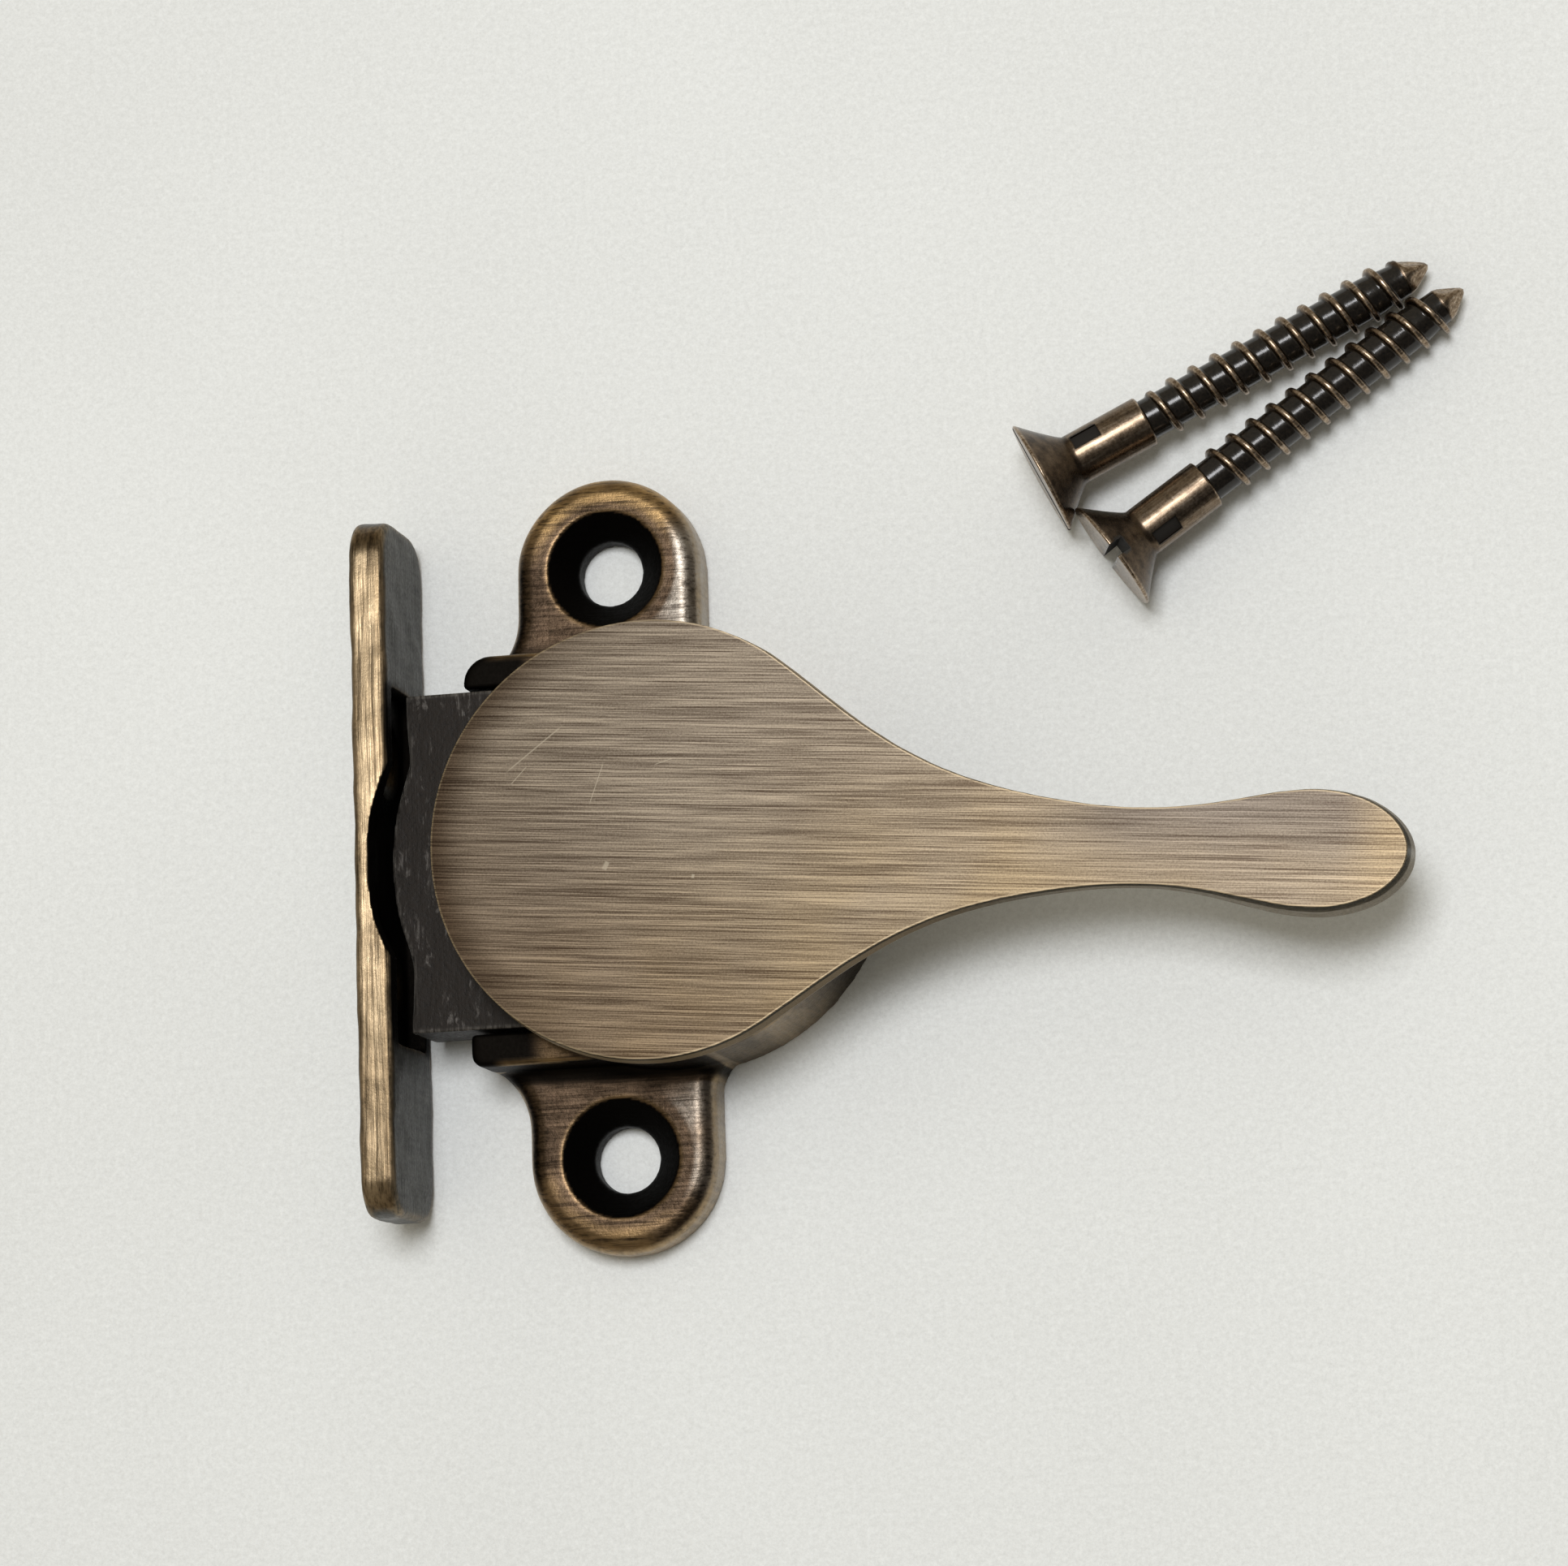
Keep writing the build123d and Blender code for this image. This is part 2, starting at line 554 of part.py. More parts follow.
write("case", case())
write("back_plate", back_plate())
for number, (rivet_x, rivet_y) in enumerate(rivet_places(), 1):
    write(f"plate_rivet_{number}", plate_rivet(rivet_x, rivet_y))
write("spindle_bush", bush())

for name, make in (("lever", lever), ("spindle", spindle), ("crank_plate", crank_plate),
                   ("crank_pin", crank_pin), ("spindle_washer", spindle_washer),
                   ("retaining_ring", retaining_ring)):
    write(name, at_pivot(make()))

write("bolt", bolt())
for number, spring_side in enumerate((-1, 1), 1):
    write(f"bolt_spring_{number}", bolt_spring(spring_side))

write("keeper", keeper())

for number, place in enumerate(SCREW_PLACES, 1):
    write(f"wood_screw_{number}", laid_screw(*place))
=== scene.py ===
import math

import bpy
import numpy as np
from mathutils import Matrix, Vector, noise


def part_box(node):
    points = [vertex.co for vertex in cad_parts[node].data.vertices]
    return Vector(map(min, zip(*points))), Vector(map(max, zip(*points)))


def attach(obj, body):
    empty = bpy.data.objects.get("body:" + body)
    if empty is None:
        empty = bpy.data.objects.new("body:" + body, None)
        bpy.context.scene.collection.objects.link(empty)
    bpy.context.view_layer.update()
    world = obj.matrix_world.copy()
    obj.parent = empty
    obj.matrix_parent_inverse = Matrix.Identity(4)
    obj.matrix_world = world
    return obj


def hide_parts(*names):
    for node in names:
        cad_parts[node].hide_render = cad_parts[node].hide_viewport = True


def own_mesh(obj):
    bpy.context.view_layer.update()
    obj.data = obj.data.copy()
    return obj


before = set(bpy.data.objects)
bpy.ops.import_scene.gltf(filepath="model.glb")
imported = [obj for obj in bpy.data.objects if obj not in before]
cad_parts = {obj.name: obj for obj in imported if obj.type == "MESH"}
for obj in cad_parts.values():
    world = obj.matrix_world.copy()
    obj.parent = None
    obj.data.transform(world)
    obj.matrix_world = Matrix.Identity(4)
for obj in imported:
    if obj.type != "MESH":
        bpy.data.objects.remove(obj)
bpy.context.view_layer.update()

# A toggle bolt latch in antique brass, with its keeper and two wood screws, laid on white paper.
# Sizes in this script are millimetres unless a name says otherwise; Blender works in metres.

MM = 0.001

# ---- sizes --------------------------------------------------------------------------------

# lever, drawn with the pivot at the origin and the arm along +X
LEVER_ANGLE = math.radians(-4.8)
DISC_RADIUS = 12.32
DISC_TANGENT_X = 7.0         # where the arm leaves the disc
FLANK = [(11.3, 7.0), (16.1, 4.3), (21.8, 2.68), (27.6, 2.09), (32.3, 2.53)]
KNOB_X = 37.0
KNOB_HALF = 3.2
KNOB_LENGTH = 5.05           # from the knob's widest place to the tip
LEVER_FLARE = 0.3            # how far the side band leans outwards on its way down
BAND_DISC = 1.2              # height of the side band
BAND_NECK = 0.85
BAND_KNOB_MORE = 0.9         # added to the neck's band at the knob
DISC_THICK = 2.0
NECK_THICK = 2.25
KNOB_THICK = 3.95
REACH_DISC = 0.5             # how far in the underside's rounding reaches
REACH_NECK_MORE = 0.9
REACH_KNOB_MORE = 0.5
NECK_FROM_X = 9              # where the section starts to turn into the neck's
KNOB_FROM_X = 27             # and where it starts to turn into the knob's
SECTION_BLEND = 9            # the length over which it turns into either
EDGE_ROUND = 0.05            # of the lever's crisp top edge
DENT = 0.012                 # unevenness of the top edge
DENT_BAND = 0.02             # and of the side band
LEVER_RIBS = 22              # faces across the lever

# castings: size of the even mesh's cells, and how far its skin swells and sinks
CASE_VOXEL = 0.17
KEEPER_VOXEL = 0.14
BOLT_VOXEL = 0.14
CAST_WOBBLE = 0.02
KEEPER_WOBBLE = 0.08
WEAR_ROUNDS = 2              # rounds of averaging, which spread the wear round an edge

# case and keeper, where their colouring needs it
HOLE_SPACING = 34.0
EAR_TOP = 2.9
EAR_RUB_RADIUS = 3.6         # the ears are rubbed golden from here outwards
EAR_PALE_RADIUS = 4.1        # and carry a painted pale highlight from here outwards
SINK_RADIUS = 3.41
CHEEK_HALF = 11.8
CHEEK_TOP = 6.0
CHANNEL_HALF = 9.99
DRUM_X = 3.5                 # the drum's centre
DRUM_RADIUS = 12.2
KEEPER_SHOULDER = 6          # the keeper's top counts as rubbed above this height
KEEPER_RUB_UPPER = 18.6      # and out to here on its upper half
KEEPER_RUB_LOWER = 19.8
POCKET_HALF = 10.2
POCKET_FLOOR_X = -13.4

# wood screws
SCREW_LENGTH = 24.9
SCREW_HEAD_RADIUS = 3.34
SCREW_RIM = 0.12
SCREW_NECK = 2.15            # where the head's flare has become the shank
FLARE_BEND = 1.12            # how hollow the head's flare is
FLARE_STEPS = 14
SHANK_RADIUS = 1.48
SHANK_END = 6.75
ROOT_RADIUS = 1.18
ROOT_END_RADIUS = 1.0
CREST_RADIUS = 1.5
TIP_LENGTH = 1.5
THREAD_PITCH = 1.41
THREAD_START = 7.6
THREAD_TURNS = 10.9
THREAD_FOOT = 0.54           # width of the thread's ridge where it stands on the root
THREAD_CREST = 0.18
THREAD_STEPS = 22            # rows of points to one turn of the thread
SCREW_COLUMNS = 48           # points round the screw
TIP_FACETS = 0.10            # how square the tip is
SLOT_WIDTH = 0.8
SLOT_DEPTH = 0.9
NICK_LENGTH = 1.6
NICK_WIDTH = 0.9
NICK_DEPTH = 0.22
NICK_START = 2.5
# head centre x, y, bearing of the tip in degrees, turn of its slot about its own axis, and
# turn of its nicks from the slot
SCREW_PLACES = [(25.62, 20.0, 26.2, 102.0, 55.0), (29.4, 15.2, 34.8, 12.0, 35.0)]

# camera, calibrated on the two ear holes and the case
CAMERA_PLACE = (62.63, -41.65, 252.93)
CAMERA_TURN = (0.17950, 0.20375, -0.07163)
CAMERA_LENS = 105.15

# the room that lights and reflects in the metal
ROOM_WALL = (0.335, 0.295, 0.228)
ROOM_CEILING = (0.43, 0.41, 0.355)
ROOM_CEILING_FROM = 0.9      # sine of the height at which the wall has become the ceiling
ROOM_DARK = (0.07, 0.07, 0.07)
ROOM_DARK_TOWARDS = (0.78, -0.42, 0.46)   # the dark side of the room
ROOM_DARK_EDGE = 0.55        # cosines of the angles at which the dark side starts and is full
ROOM_DARK_FULL = 0.90
PANEL_PLACE = (45, 95, 600)
PANEL_SIZE = 200
PANEL_RADIANCE = 16.8
PANEL_COLOUR = (0.975, 0.995, 1.04)

# the paper
FLOOR_HALF = 700.0
FLOOR_STEPS = 60
FLOOR_Z = -0.02              # just below the latch


# ---- mesh helpers -------------------------------------------------------------------------

def link(obj):
    bpy.context.scene.collection.objects.link(obj)
    return obj


def smooth_faces(mesh):
    mesh.polygons.foreach_set("use_smooth", [True] * len(mesh.polygons))


def new_piece(name, points, faces, scale=MM):
    """A smooth mesh object from points in millimetres."""
    mesh = bpy.data.meshes.new(name)
    mesh.from_pydata([tuple(scale * c for c in p) for p in points], [], faces)
    smooth_faces(mesh)
    return link(bpy.data.objects.new(name, mesh))


def set_values(mesh, name, values):
    """Stores a number or a vector for each vertex, for the materials to read."""
    values = np.asarray(values, np.float32)
    kind, field = ("FLOAT", "value") if values.ndim == 1 else ("FLOAT_VECTOR", "vector")
    layer = mesh.attributes.new(name, kind, "POINT")
    layer.data.foreach_set(field, values.ravel())


def map_brush(mesh, points_mm, across, along):
    """A UV map whose U runs across the brush lines and whose V runs along them."""
    corner = np.zeros(len(mesh.loops), np.int64)
    mesh.loops.foreach_get("vertex_index", corner)
    uv = 0.5 + 0.01 * np.asarray(points_mm)[corner] @ np.array([across, along]).T
    layer = mesh.uv_layers.new(name="brush")
    layer.data.foreach_set("uv", uv.astype(np.float32).ravel())


def read_vectors(items, field):
    vectors = np.zeros(len(items) * 3, np.float32)
    items.foreach_get(field, vectors)
    return vectors.reshape(-1, 3).astype(float)


def read_points(mesh):
    return read_vectors(mesh.vertices, "co")


def read_normals(mesh):
    return read_vectors(mesh.vertex_normals, "vector")


def write_points(mesh, points):
    mesh.vertices.foreach_set("co", np.asarray(points, np.float32).ravel())
    mesh.update()


def apply_modifiers(obj):
    """Replaces an object's mesh by the result of its modifiers."""
    bpy.context.view_layer.update()
    graph = bpy.context.evaluated_depsgraph_get()
    mesh = bpy.data.meshes.new_from_object(obj.evaluated_get(graph), depsgraph=graph)
    obj.modifiers.clear()
    obj.data = mesh
    smooth_faces(mesh)


def bulge(mesh):
    """How far each vertex stands out of its neighbours.

    The value is positive on edges and negative in corners."""
    points = read_points(mesh)
    normals = read_normals(mesh)
    ends = np.zeros(len(mesh.edges) * 2, np.int64)
    mesh.edges.foreach_get("vertices", ends)
    a, b = ends.reshape(-1, 2).T
    across = points[b] - points[a]
    length = np.maximum(np.linalg.norm(across, axis=1), 1e-9)
    count = np.bincount(a, minlength=len(points)) + np.bincount(b, minlength=len(points))
    count = np.maximum(count, 1)
    value = np.bincount(a, -(across * normals[a]).sum(1) / length, len(points))
    value += np.bincount(b, (across * normals[b]).sum(1) / length, len(points))
    value /= count
    for _ in range(WEAR_ROUNDS):
        near = np.bincount(a, value[b], len(points)) + np.bincount(b, value[a], len(points))
        value = 0.4 * value + 0.6 * near / count
    return value


def sway(points_mm, size, seed):
    """Slow noise between about -1 and 1 at each point, with features of that many millimetres."""
    offset = Vector((seed * 7.3, seed * 3.1, seed * 5.7))
    return np.array([noise.noise(Vector(p) / size + offset) for p in points_mm])


# ---- shader helpers -----------------------------------------------------------------------

class Paint:
    """Builds one material, node by node."""

    def __init__(self, name):
        self.material = bpy.data.materials.new(name)
        self.material.use_nodes = True
        self.tree = self.material.node_tree
        self.tree.nodes.clear()
        self.output = self.node("ShaderNodeOutputMaterial")
        self.surface = self.node("ShaderNodeBsdfPrincipled")
        self.link(self.surface.outputs["BSDF"], self.output.inputs["Surface"])

    def node(self, kind, **settings):
        made = self.tree.nodes.new(kind)
        for key, value in settings.items():
            setattr(made, key, value)
        return made

    def link(self, start, end):
        self.tree.links.new(start, end)

    def feed(self, socket, value):
        """Links a socket or sets a plain value."""
        if isinstance(value, bpy.types.NodeSocket):
            self.link(value, socket)
        else:
            socket.default_value = value

    def set(self, **values):
        """Sets the shader's sockets; an underscore in a name stands for a space."""
        for key, value in values.items():
            self.feed(self.surface.inputs[key.replace("_", " ")], value)

    def attribute(self, name, output="Fac"):
        return self.node("ShaderNodeAttribute", attribute_name=name).outputs[output]

    def place(self):
        """Position on the object, in millimetres."""
        coordinates = self.node("ShaderNodeTexCoord").outputs["Object"]
        return self.stretch(coordinates, (1 / MM,) * 3)

    def stretch(self, vector, scale, turn=0.0, shift=(0, 0, 0)):
        mapping = self.node("ShaderNodeMapping")
        mapping.inputs["Location"].default_value = shift
        mapping.inputs["Rotation"].default_value = (0, 0, turn)
        mapping.inputs["Scale"].default_value = scale
        self.link(vector, mapping.inputs["Vector"])
        return mapping.outputs["Vector"]

    def noise(self, vector, scale=1.0, detail=3.0, rough=0.5, twist=0.0):
        made = self.node("ShaderNodeTexNoise")
        self.link(vector, made.inputs["Vector"])
        made.inputs["Scale"].default_value = scale
        made.inputs["Detail"].default_value = detail
        made.inputs["Roughness"].default_value = rough
        made.inputs["Distortion"].default_value = twist
        return made.outputs["Fac"]

    def ramp(self, value, *stops):
        """A colour ramp; a stop is a place and a colour."""
        made = self.node("ShaderNodeValToRGB")
        band = made.color_ramp
        while len(band.elements) < len(stops):
            band.elements.new(0.5)
        for element, (place, colour) in zip(band.elements, stops):
            element.position = place
            element.color = (*colour, 1)
        self.link(value, made.inputs["Fac"])
        return made.outputs["Color"]

    def math(self, operation, *values):
        made = self.node("ShaderNodeMath", operation=operation)
        for socket, value in zip(made.inputs, values):
            self.feed(socket, value)
        return made.outputs["Value"]

    def times(self, a, b):
        return self.math("MULTIPLY", a, b)

    def plus(self, a, b):
        return self.math("ADD", a, b)

    def minus(self, a, b):
        return self.math("SUBTRACT", a, b)

    def span(self, value, low, high, to_low=0.0, to_high=1.0):
        """Maps a range of values onto another, smoothly and without going past its ends."""
        made = self.node("ShaderNodeMapRange", interpolation_type="SMOOTHSTEP")
        for key, number in (("From Min", low), ("From Max", high), ("To Min", to_low),
                            ("To Max", to_high)):
            made.inputs[key].default_value = number
        self.feed(made.inputs["Value"], value)
        return made.outputs["Result"]

    def mix(self, share, a, b, blend="MIX"):
        made = self.node("ShaderNodeMix", data_type="RGBA", blend_type=blend)
        self.feed(made.inputs["Factor"], share)
        for socket, value in ((made.inputs[6], a), (made.inputs[7], b)):
            if isinstance(value, tuple):
                value = (*value, 1)
            self.feed(socket, value)
        return made.outputs[2]

    def stroke(self, vector, x, y, bearing, length, width):
        """A short straight mark: 1 on its line and 0 away from it."""
        turn = -math.radians(bearing)
        shift = (y * math.sin(turn) - x * math.cos(turn),
                 -x * math.sin(turn) - y * math.cos(turn), 0)
        local = self.stretch(vector, (1, 1, 1), turn, shift)
        along = self.math("ABSOLUTE", self.part(local, "X"))
        across = self.math("ABSOLUTE", self.part(local, "Y"))
        return self.times(self.span(along, 0.35 * length, 0.5 * length, 1.0, 0.0),
                          self.span(across, 0.25 * width, 0.5 * width, 1.0, 0.0))

    def part(self, vector, axis):
        """One component of a vector."""
        made = self.node("ShaderNodeSeparateXYZ")
        self.link(vector, made.inputs[0])
        return made.outputs[axis]

    def brushed(self, strength):
        """Spreads the gloss along the U direction of the brush map, across the brush lines."""
        self.set(Anisotropic=strength)
        tangent = self.node("ShaderNodeTangent", direction_type="UV_MAP", uv_map="brush")
        self.link(tangent.outputs["Tangent"], self.surface.inputs["Tangent"])

    def bump(self, *layers):
        """Bumps from heights, each with its depth in millimetres, and gives the normal."""
        normal = None
        for height, depth in layers:
            made = self.node("ShaderNodeBump")
            made.inputs["Strength"].default_value = 1.0
            made.inputs["Distance"].default_value = depth * MM
            self.link(height, made.inputs["Height"])
            if normal is not None:
                self.link(normal, made.inputs["Normal"])
            normal = made.outputs["Normal"]
        self.link(normal, self.surface.inputs["Normal"])


# ---- materials ----------------------------------------------------------------------------

# the lever, from pale to dark, and its side band
BRASS_PALE = (0.60, 0.50, 0.385)
BRASS_BEIGE = (0.30, 0.245, 0.185)
BRASS_BROWN = (0.105, 0.074, 0.052)
PATINA = (0.016, 0.012, 0.008)
OLIVE = (0.060, 0.050, 0.026)
LEVER_SCRATCH = (0.66, 0.58, 0.45)
# the next colour is a painted golden reflection on the disc's side band
LEVER_FLANK_REFLECTION = (0.22, 0.165, 0.10)
LEVER_RIM = (0.58, 0.46, 0.30)
UNDER_DARK = (0.13, 0.108, 0.075)
UNDER_PALE = (0.21, 0.175, 0.12)

# tints that the lever's colour is multiplied by; the brown, grey and border tints are partly patina
# and partly painted shade
GOLD_TINT = (1.05, 0.96, 0.76)
BROWN_TINT = (0.62, 0.52, 0.44)
BORDER_TINT = (0.36, 0.31, 0.27)
GREY_TINT = (0.62, 0.63, 0.68)

# castings: a painted pale highlight, and a deep black for patina and painted shade, also used in
# the screws' roots
CAST_PALE = (0.34, 0.30, 0.25)
DEEP_BLACK = (0.006, 0.005, 0.004)

# the blackened bolt
BLACKING_DARK = (0.007, 0.0055, 0.004)
BLACKING_PALE = (0.023, 0.018, 0.014)
BOLT_SCUFF = (0.16, 0.145, 0.13)
BOLT_RUBBED = (0.22, 0.20, 0.175)

# screws: the rubbed metal from dark to pale, the thread's roots, the rest, and the cuts
SCREW_BRONZE = (0.15, 0.105, 0.068)
SCREW_GOLD = (0.32, 0.24, 0.165)
SCREW_PALE = (0.56, 0.46, 0.36)
ROOT_PALE = (0.022, 0.017, 0.012)
SCREW_UMBER = (0.045, 0.032, 0.022)
SCREW_BROWN = (0.13, 0.092, 0.060)
CUT_BLACK = (0.012, 0.009, 0.006)

NYLON_DARK = (0.085, 0.085, 0.088)
NYLON_PALE = (0.115, 0.114, 0.112)
PAPER_DARK = (0.83, 0.835, 0.805)
PAPER_PALE = (0.965, 0.975, 0.945)

# thin pale scratches on the lever: x, y, bearing, length and width
LEVER_SCRATCHES = [(-6.6, 4.9, 41, 4.4, 0.10), (-2.9, 3.0, 74, 2.6, 0.07),
                   (-7.4, 3.4, 50, 1.5, 0.07), (0.9, 4.3, 20, 1.2, 0.06),
                   (-2.1, -1.6, 66, 0.55, 0.34), (2.9, -2.1, 80, 0.25, 0.2)]


def brushed_brass():
    """The lever: antique brass, brushed along its length, with a thin bright rim."""
    p = Paint("brushed_brass")
    place = p.attribute("local", "Vector")
    lean = math.radians(1.2)
    hair = p.noise(p.stretch(place, (0.22, 19, 8), lean), detail=2.5, rough=0.6)
    streak = p.noise(p.stretch(place, (0.07, 6.5, 3), -lean), detail=2.5, rough=0.55)
    band = p.noise(p.stretch(place, (0.05, 1.2, 1)), detail=2, rough=0.5)
    dark_line = p.noise(p.stretch(place, (0.07, 17, 5), 1.5 * lean), detail=1.5, rough=0.5)
    pale_line = p.noise(p.stretch(place, (0.08, 18, 5), -2 * lean, (5, 5, 0)), detail=1.5,
                        rough=0.5)
    cloud = p.noise(place, 0.14, 2, 0.5)
    grain = p.noise(place, 9.0, 3, 0.7)
    along = p.part(place, "X")
    across = p.part(place, "Y")

    tone = p.plus(p.times(hair, 0.45), p.times(streak, 0.27))
    tone = p.plus(tone, p.times(band, 0.10))
    tone = p.plus(tone, p.times(grain, 0.18))
    colour = p.ramp(tone, (0.41, BRASS_BROWN), (0.50, BRASS_BEIGE), (0.60, BRASS_PALE))
    colour = p.mix(p.span(pale_line, 0.60, 0.68, 0.0, 0.6), colour, BRASS_PALE)
    colour = p.mix(p.span(dark_line, 0.58, 0.65, 0.0, 0.85), colour, BRASS_BROWN)
    gold = p.span(p.minus(along, p.times(across, 1.6)), -8.0, 30.0)
    gold = p.times(gold, p.span(cloud, 0.35, 0.65, 0.6, 1.0))
    arm = p.times(p.span(along, 20.0, 27.0), p.span(across, -2.5, 2.5, 0.4, 1.0))
    arm = p.times(arm, p.span(along, 38.0, 41.5, 1.0, 0.1))
    gold = p.times(gold, p.minus(1.0, p.times(arm, 0.75)))
    colour = p.mix(gold, colour, GOLD_TINT, "MULTIPLY")

    # patina and painted shade: brown on the disc's lower left and dark along its left edge, and
    # grey on the arm and the knob's upper half; this darkening is partly patina and partly painted
    # shade
    left = p.minus(across, p.times(along, -0.6))
    disc = p.times(p.span(left, -13.0, 3.0, 0.5, 0.0), p.span(along, 8.0, 16.0, 1.0, 0.0))
    colour = p.mix(disc, colour, BROWN_TINT, "MULTIPLY")
    colour = p.mix(arm, colour, GREY_TINT, "MULTIPLY")
    from_pivot = p.math("SQRT", p.plus(p.times(along, along), p.times(across, across)))
    # the disc's left rim is darkened: partly patina, partly painted shade
    border = p.times(p.span(from_pivot, 9.7, 12.4), p.span(along, -10.0, 1.0, 1.0, 0.0))
    border = p.times(border, p.span(across, -11.0, -4.0, 0.6, 1.0))
    colour = p.mix(border, colour, BORDER_TINT, "MULTIPLY")
    for mark in LEVER_SCRATCHES:
        colour = p.mix(p.times(p.stroke(place, *mark), 0.5), colour, LEVER_SCRATCH)

    # the side band is rough and olive, with a painted golden reflection on the disc's flank, and
    # smooth underneath
    side = p.attribute("side")
    side_tone = p.mix(p.span(grain, 0.35, 0.65), PATINA, OLIVE)
    flank = p.times(p.span(side, 0.60, 0.80), p.span(along, 12.0, 24.0, 0.9, 0.1))
    side_tone = p.mix(flank, side_tone, LEVER_FLANK_REFLECTION)
    colour = p.mix(p.span(side, 0.15, 0.5), colour, side_tone)
    under = p.attribute("under")
    under_tone = p.mix(p.span(grain, 0.35, 0.65), UNDER_DARK, UNDER_PALE)
    colour = p.mix(under, colour, under_tone)
    rim = p.times(p.attribute("wear"), p.span(hair, 0.35, 0.6, 0.15, 0.9))
    colour = p.mix(rim, colour, LEVER_RIM)
    rough = p.span(hair, 0.35, 0.65, 0.46, 0.58)
    rough = p.minus(rough, p.times(under, 0.16))
    p.set(Base_Color=colour, Metallic=1.0, Roughness=rough)
    p.brushed(0.83)
    p.bump((hair, 0.006), (streak, 0.008))
    return p.material


def cast_brass(name, brush, base, wall, rubbed, spread, smooth, relief):
    """A casting in antique brass: dark in its corners, rubbed bright on its edges, black with
    patina and painted shade, and pale with a painted highlight where these are given.

    The colours are those of its upper faces, of its walls and of its rubbed edges. Spread is how
    far the gloss is drawn out across the lines, smooth is the lowest roughness, and relief is the
    depth of the lines in millimetres."""
    p = Paint(name)
    place = p.place()
    grain = p.noise(place, 4.5, 4, 0.65)
    cloud = p.noise(place, 0.45, 3, 0.6)
    lines = p.noise(p.stretch(place, brush), detail=3.5, rough=0.65)
    drawn = p.noise(p.stretch(place, (3.0, 3.0, 0.3)), detail=3, rough=0.6)
    spots = p.noise(place, 2.2, 4, 0.7)
    tone = p.plus(p.times(lines, 0.5), p.times(cloud, 0.3))
    tone = p.plus(tone, p.times(grain, 0.2))
    colour = p.ramp(tone, (0.40, tuple(0.4 * c for c in base)), (0.50, base),
                    (0.60, tuple(1.8 * c for c in base)))
    wall_tone = p.ramp(drawn, (0.34, tuple(0.72 * c for c in wall)),
                       (0.66, tuple(1.28 * c for c in wall)))
    colour = p.mix(p.attribute("wall"), colour, wall_tone)
    colour = p.mix(p.times(p.span(spots, 0.56, 0.70), 0.6), colour, PATINA)
    rub = p.times(p.attribute("wear"), p.span(lines, 0.32, 0.56, 0.15, 1.0))
    rubbed_tone = p.mix(p.span(cloud, 0.4, 0.6), rubbed, tuple(1.3 * c for c in rubbed))
    colour = p.mix(rub, colour, rubbed_tone)
    # a painted pale highlight where the mesh stores one, broken by the brush lines
    pale = p.times(p.attribute("pale"), p.span(lines, 0.32, 0.56, 0.3, 1.0))
    colour = p.mix(pale, colour, CAST_PALE)
    # black from patina in the hollows, and painted shade where the mesh stores it
    patina_and_shade = p.attribute("patina_and_shade")
    colour = p.mix(patina_and_shade, colour, DEEP_BLACK)
    rough = p.span(grain, 0.3, 0.7, smooth, smooth + 0.12)
    rough = p.plus(rough, p.times(patina_and_shade, 0.2))
    p.set(Base_Color=colour, Metallic=1.0, Roughness=rough)
    p.brushed(spread)
    p.bump((grain, 0.014), (lines, relief))
    return p.material


def black_bolt():
    """Blackened zinc, matt, with pale scuffs and worn edges."""
    p = Paint("black_bolt")
    place = p.place()
    grain = p.noise(place, 4.0, 4, 0.65)
    scuff = p.noise(p.stretch(place, (1.0, 0.45, 1.0), 0.5), 1.2, 5, 0.7, 0.6)
    fine = p.noise(p.stretch(place, (6.0, 0.5, 2.0), -0.3), 1.0, 3, 0.6)
    colour = p.ramp(grain, (0.3, BLACKING_DARK), (0.7, BLACKING_PALE))
    marks = p.times(p.span(scuff, 0.54, 0.67), p.span(fine, 0.40, 0.60))
    colour = p.mix(p.times(marks, 0.5), colour, BOLT_SCUFF)
    rub = p.times(p.attribute("wear"), p.span(fine, 0.4, 0.6, 0.2, 0.7))
    colour = p.mix(rub, colour, BOLT_RUBBED)
    colour = p.mix(p.attribute("patina_and_shade"), colour, PATINA)
    p.set(Base_Color=colour, Metallic=0.6, Roughness=p.span(grain, 0.3, 0.7, 0.44, 0.62))
    p.set(Specular_IOR_Level=0.3)
    p.bump((grain, 0.03), (fine, 0.015))
    return p.material


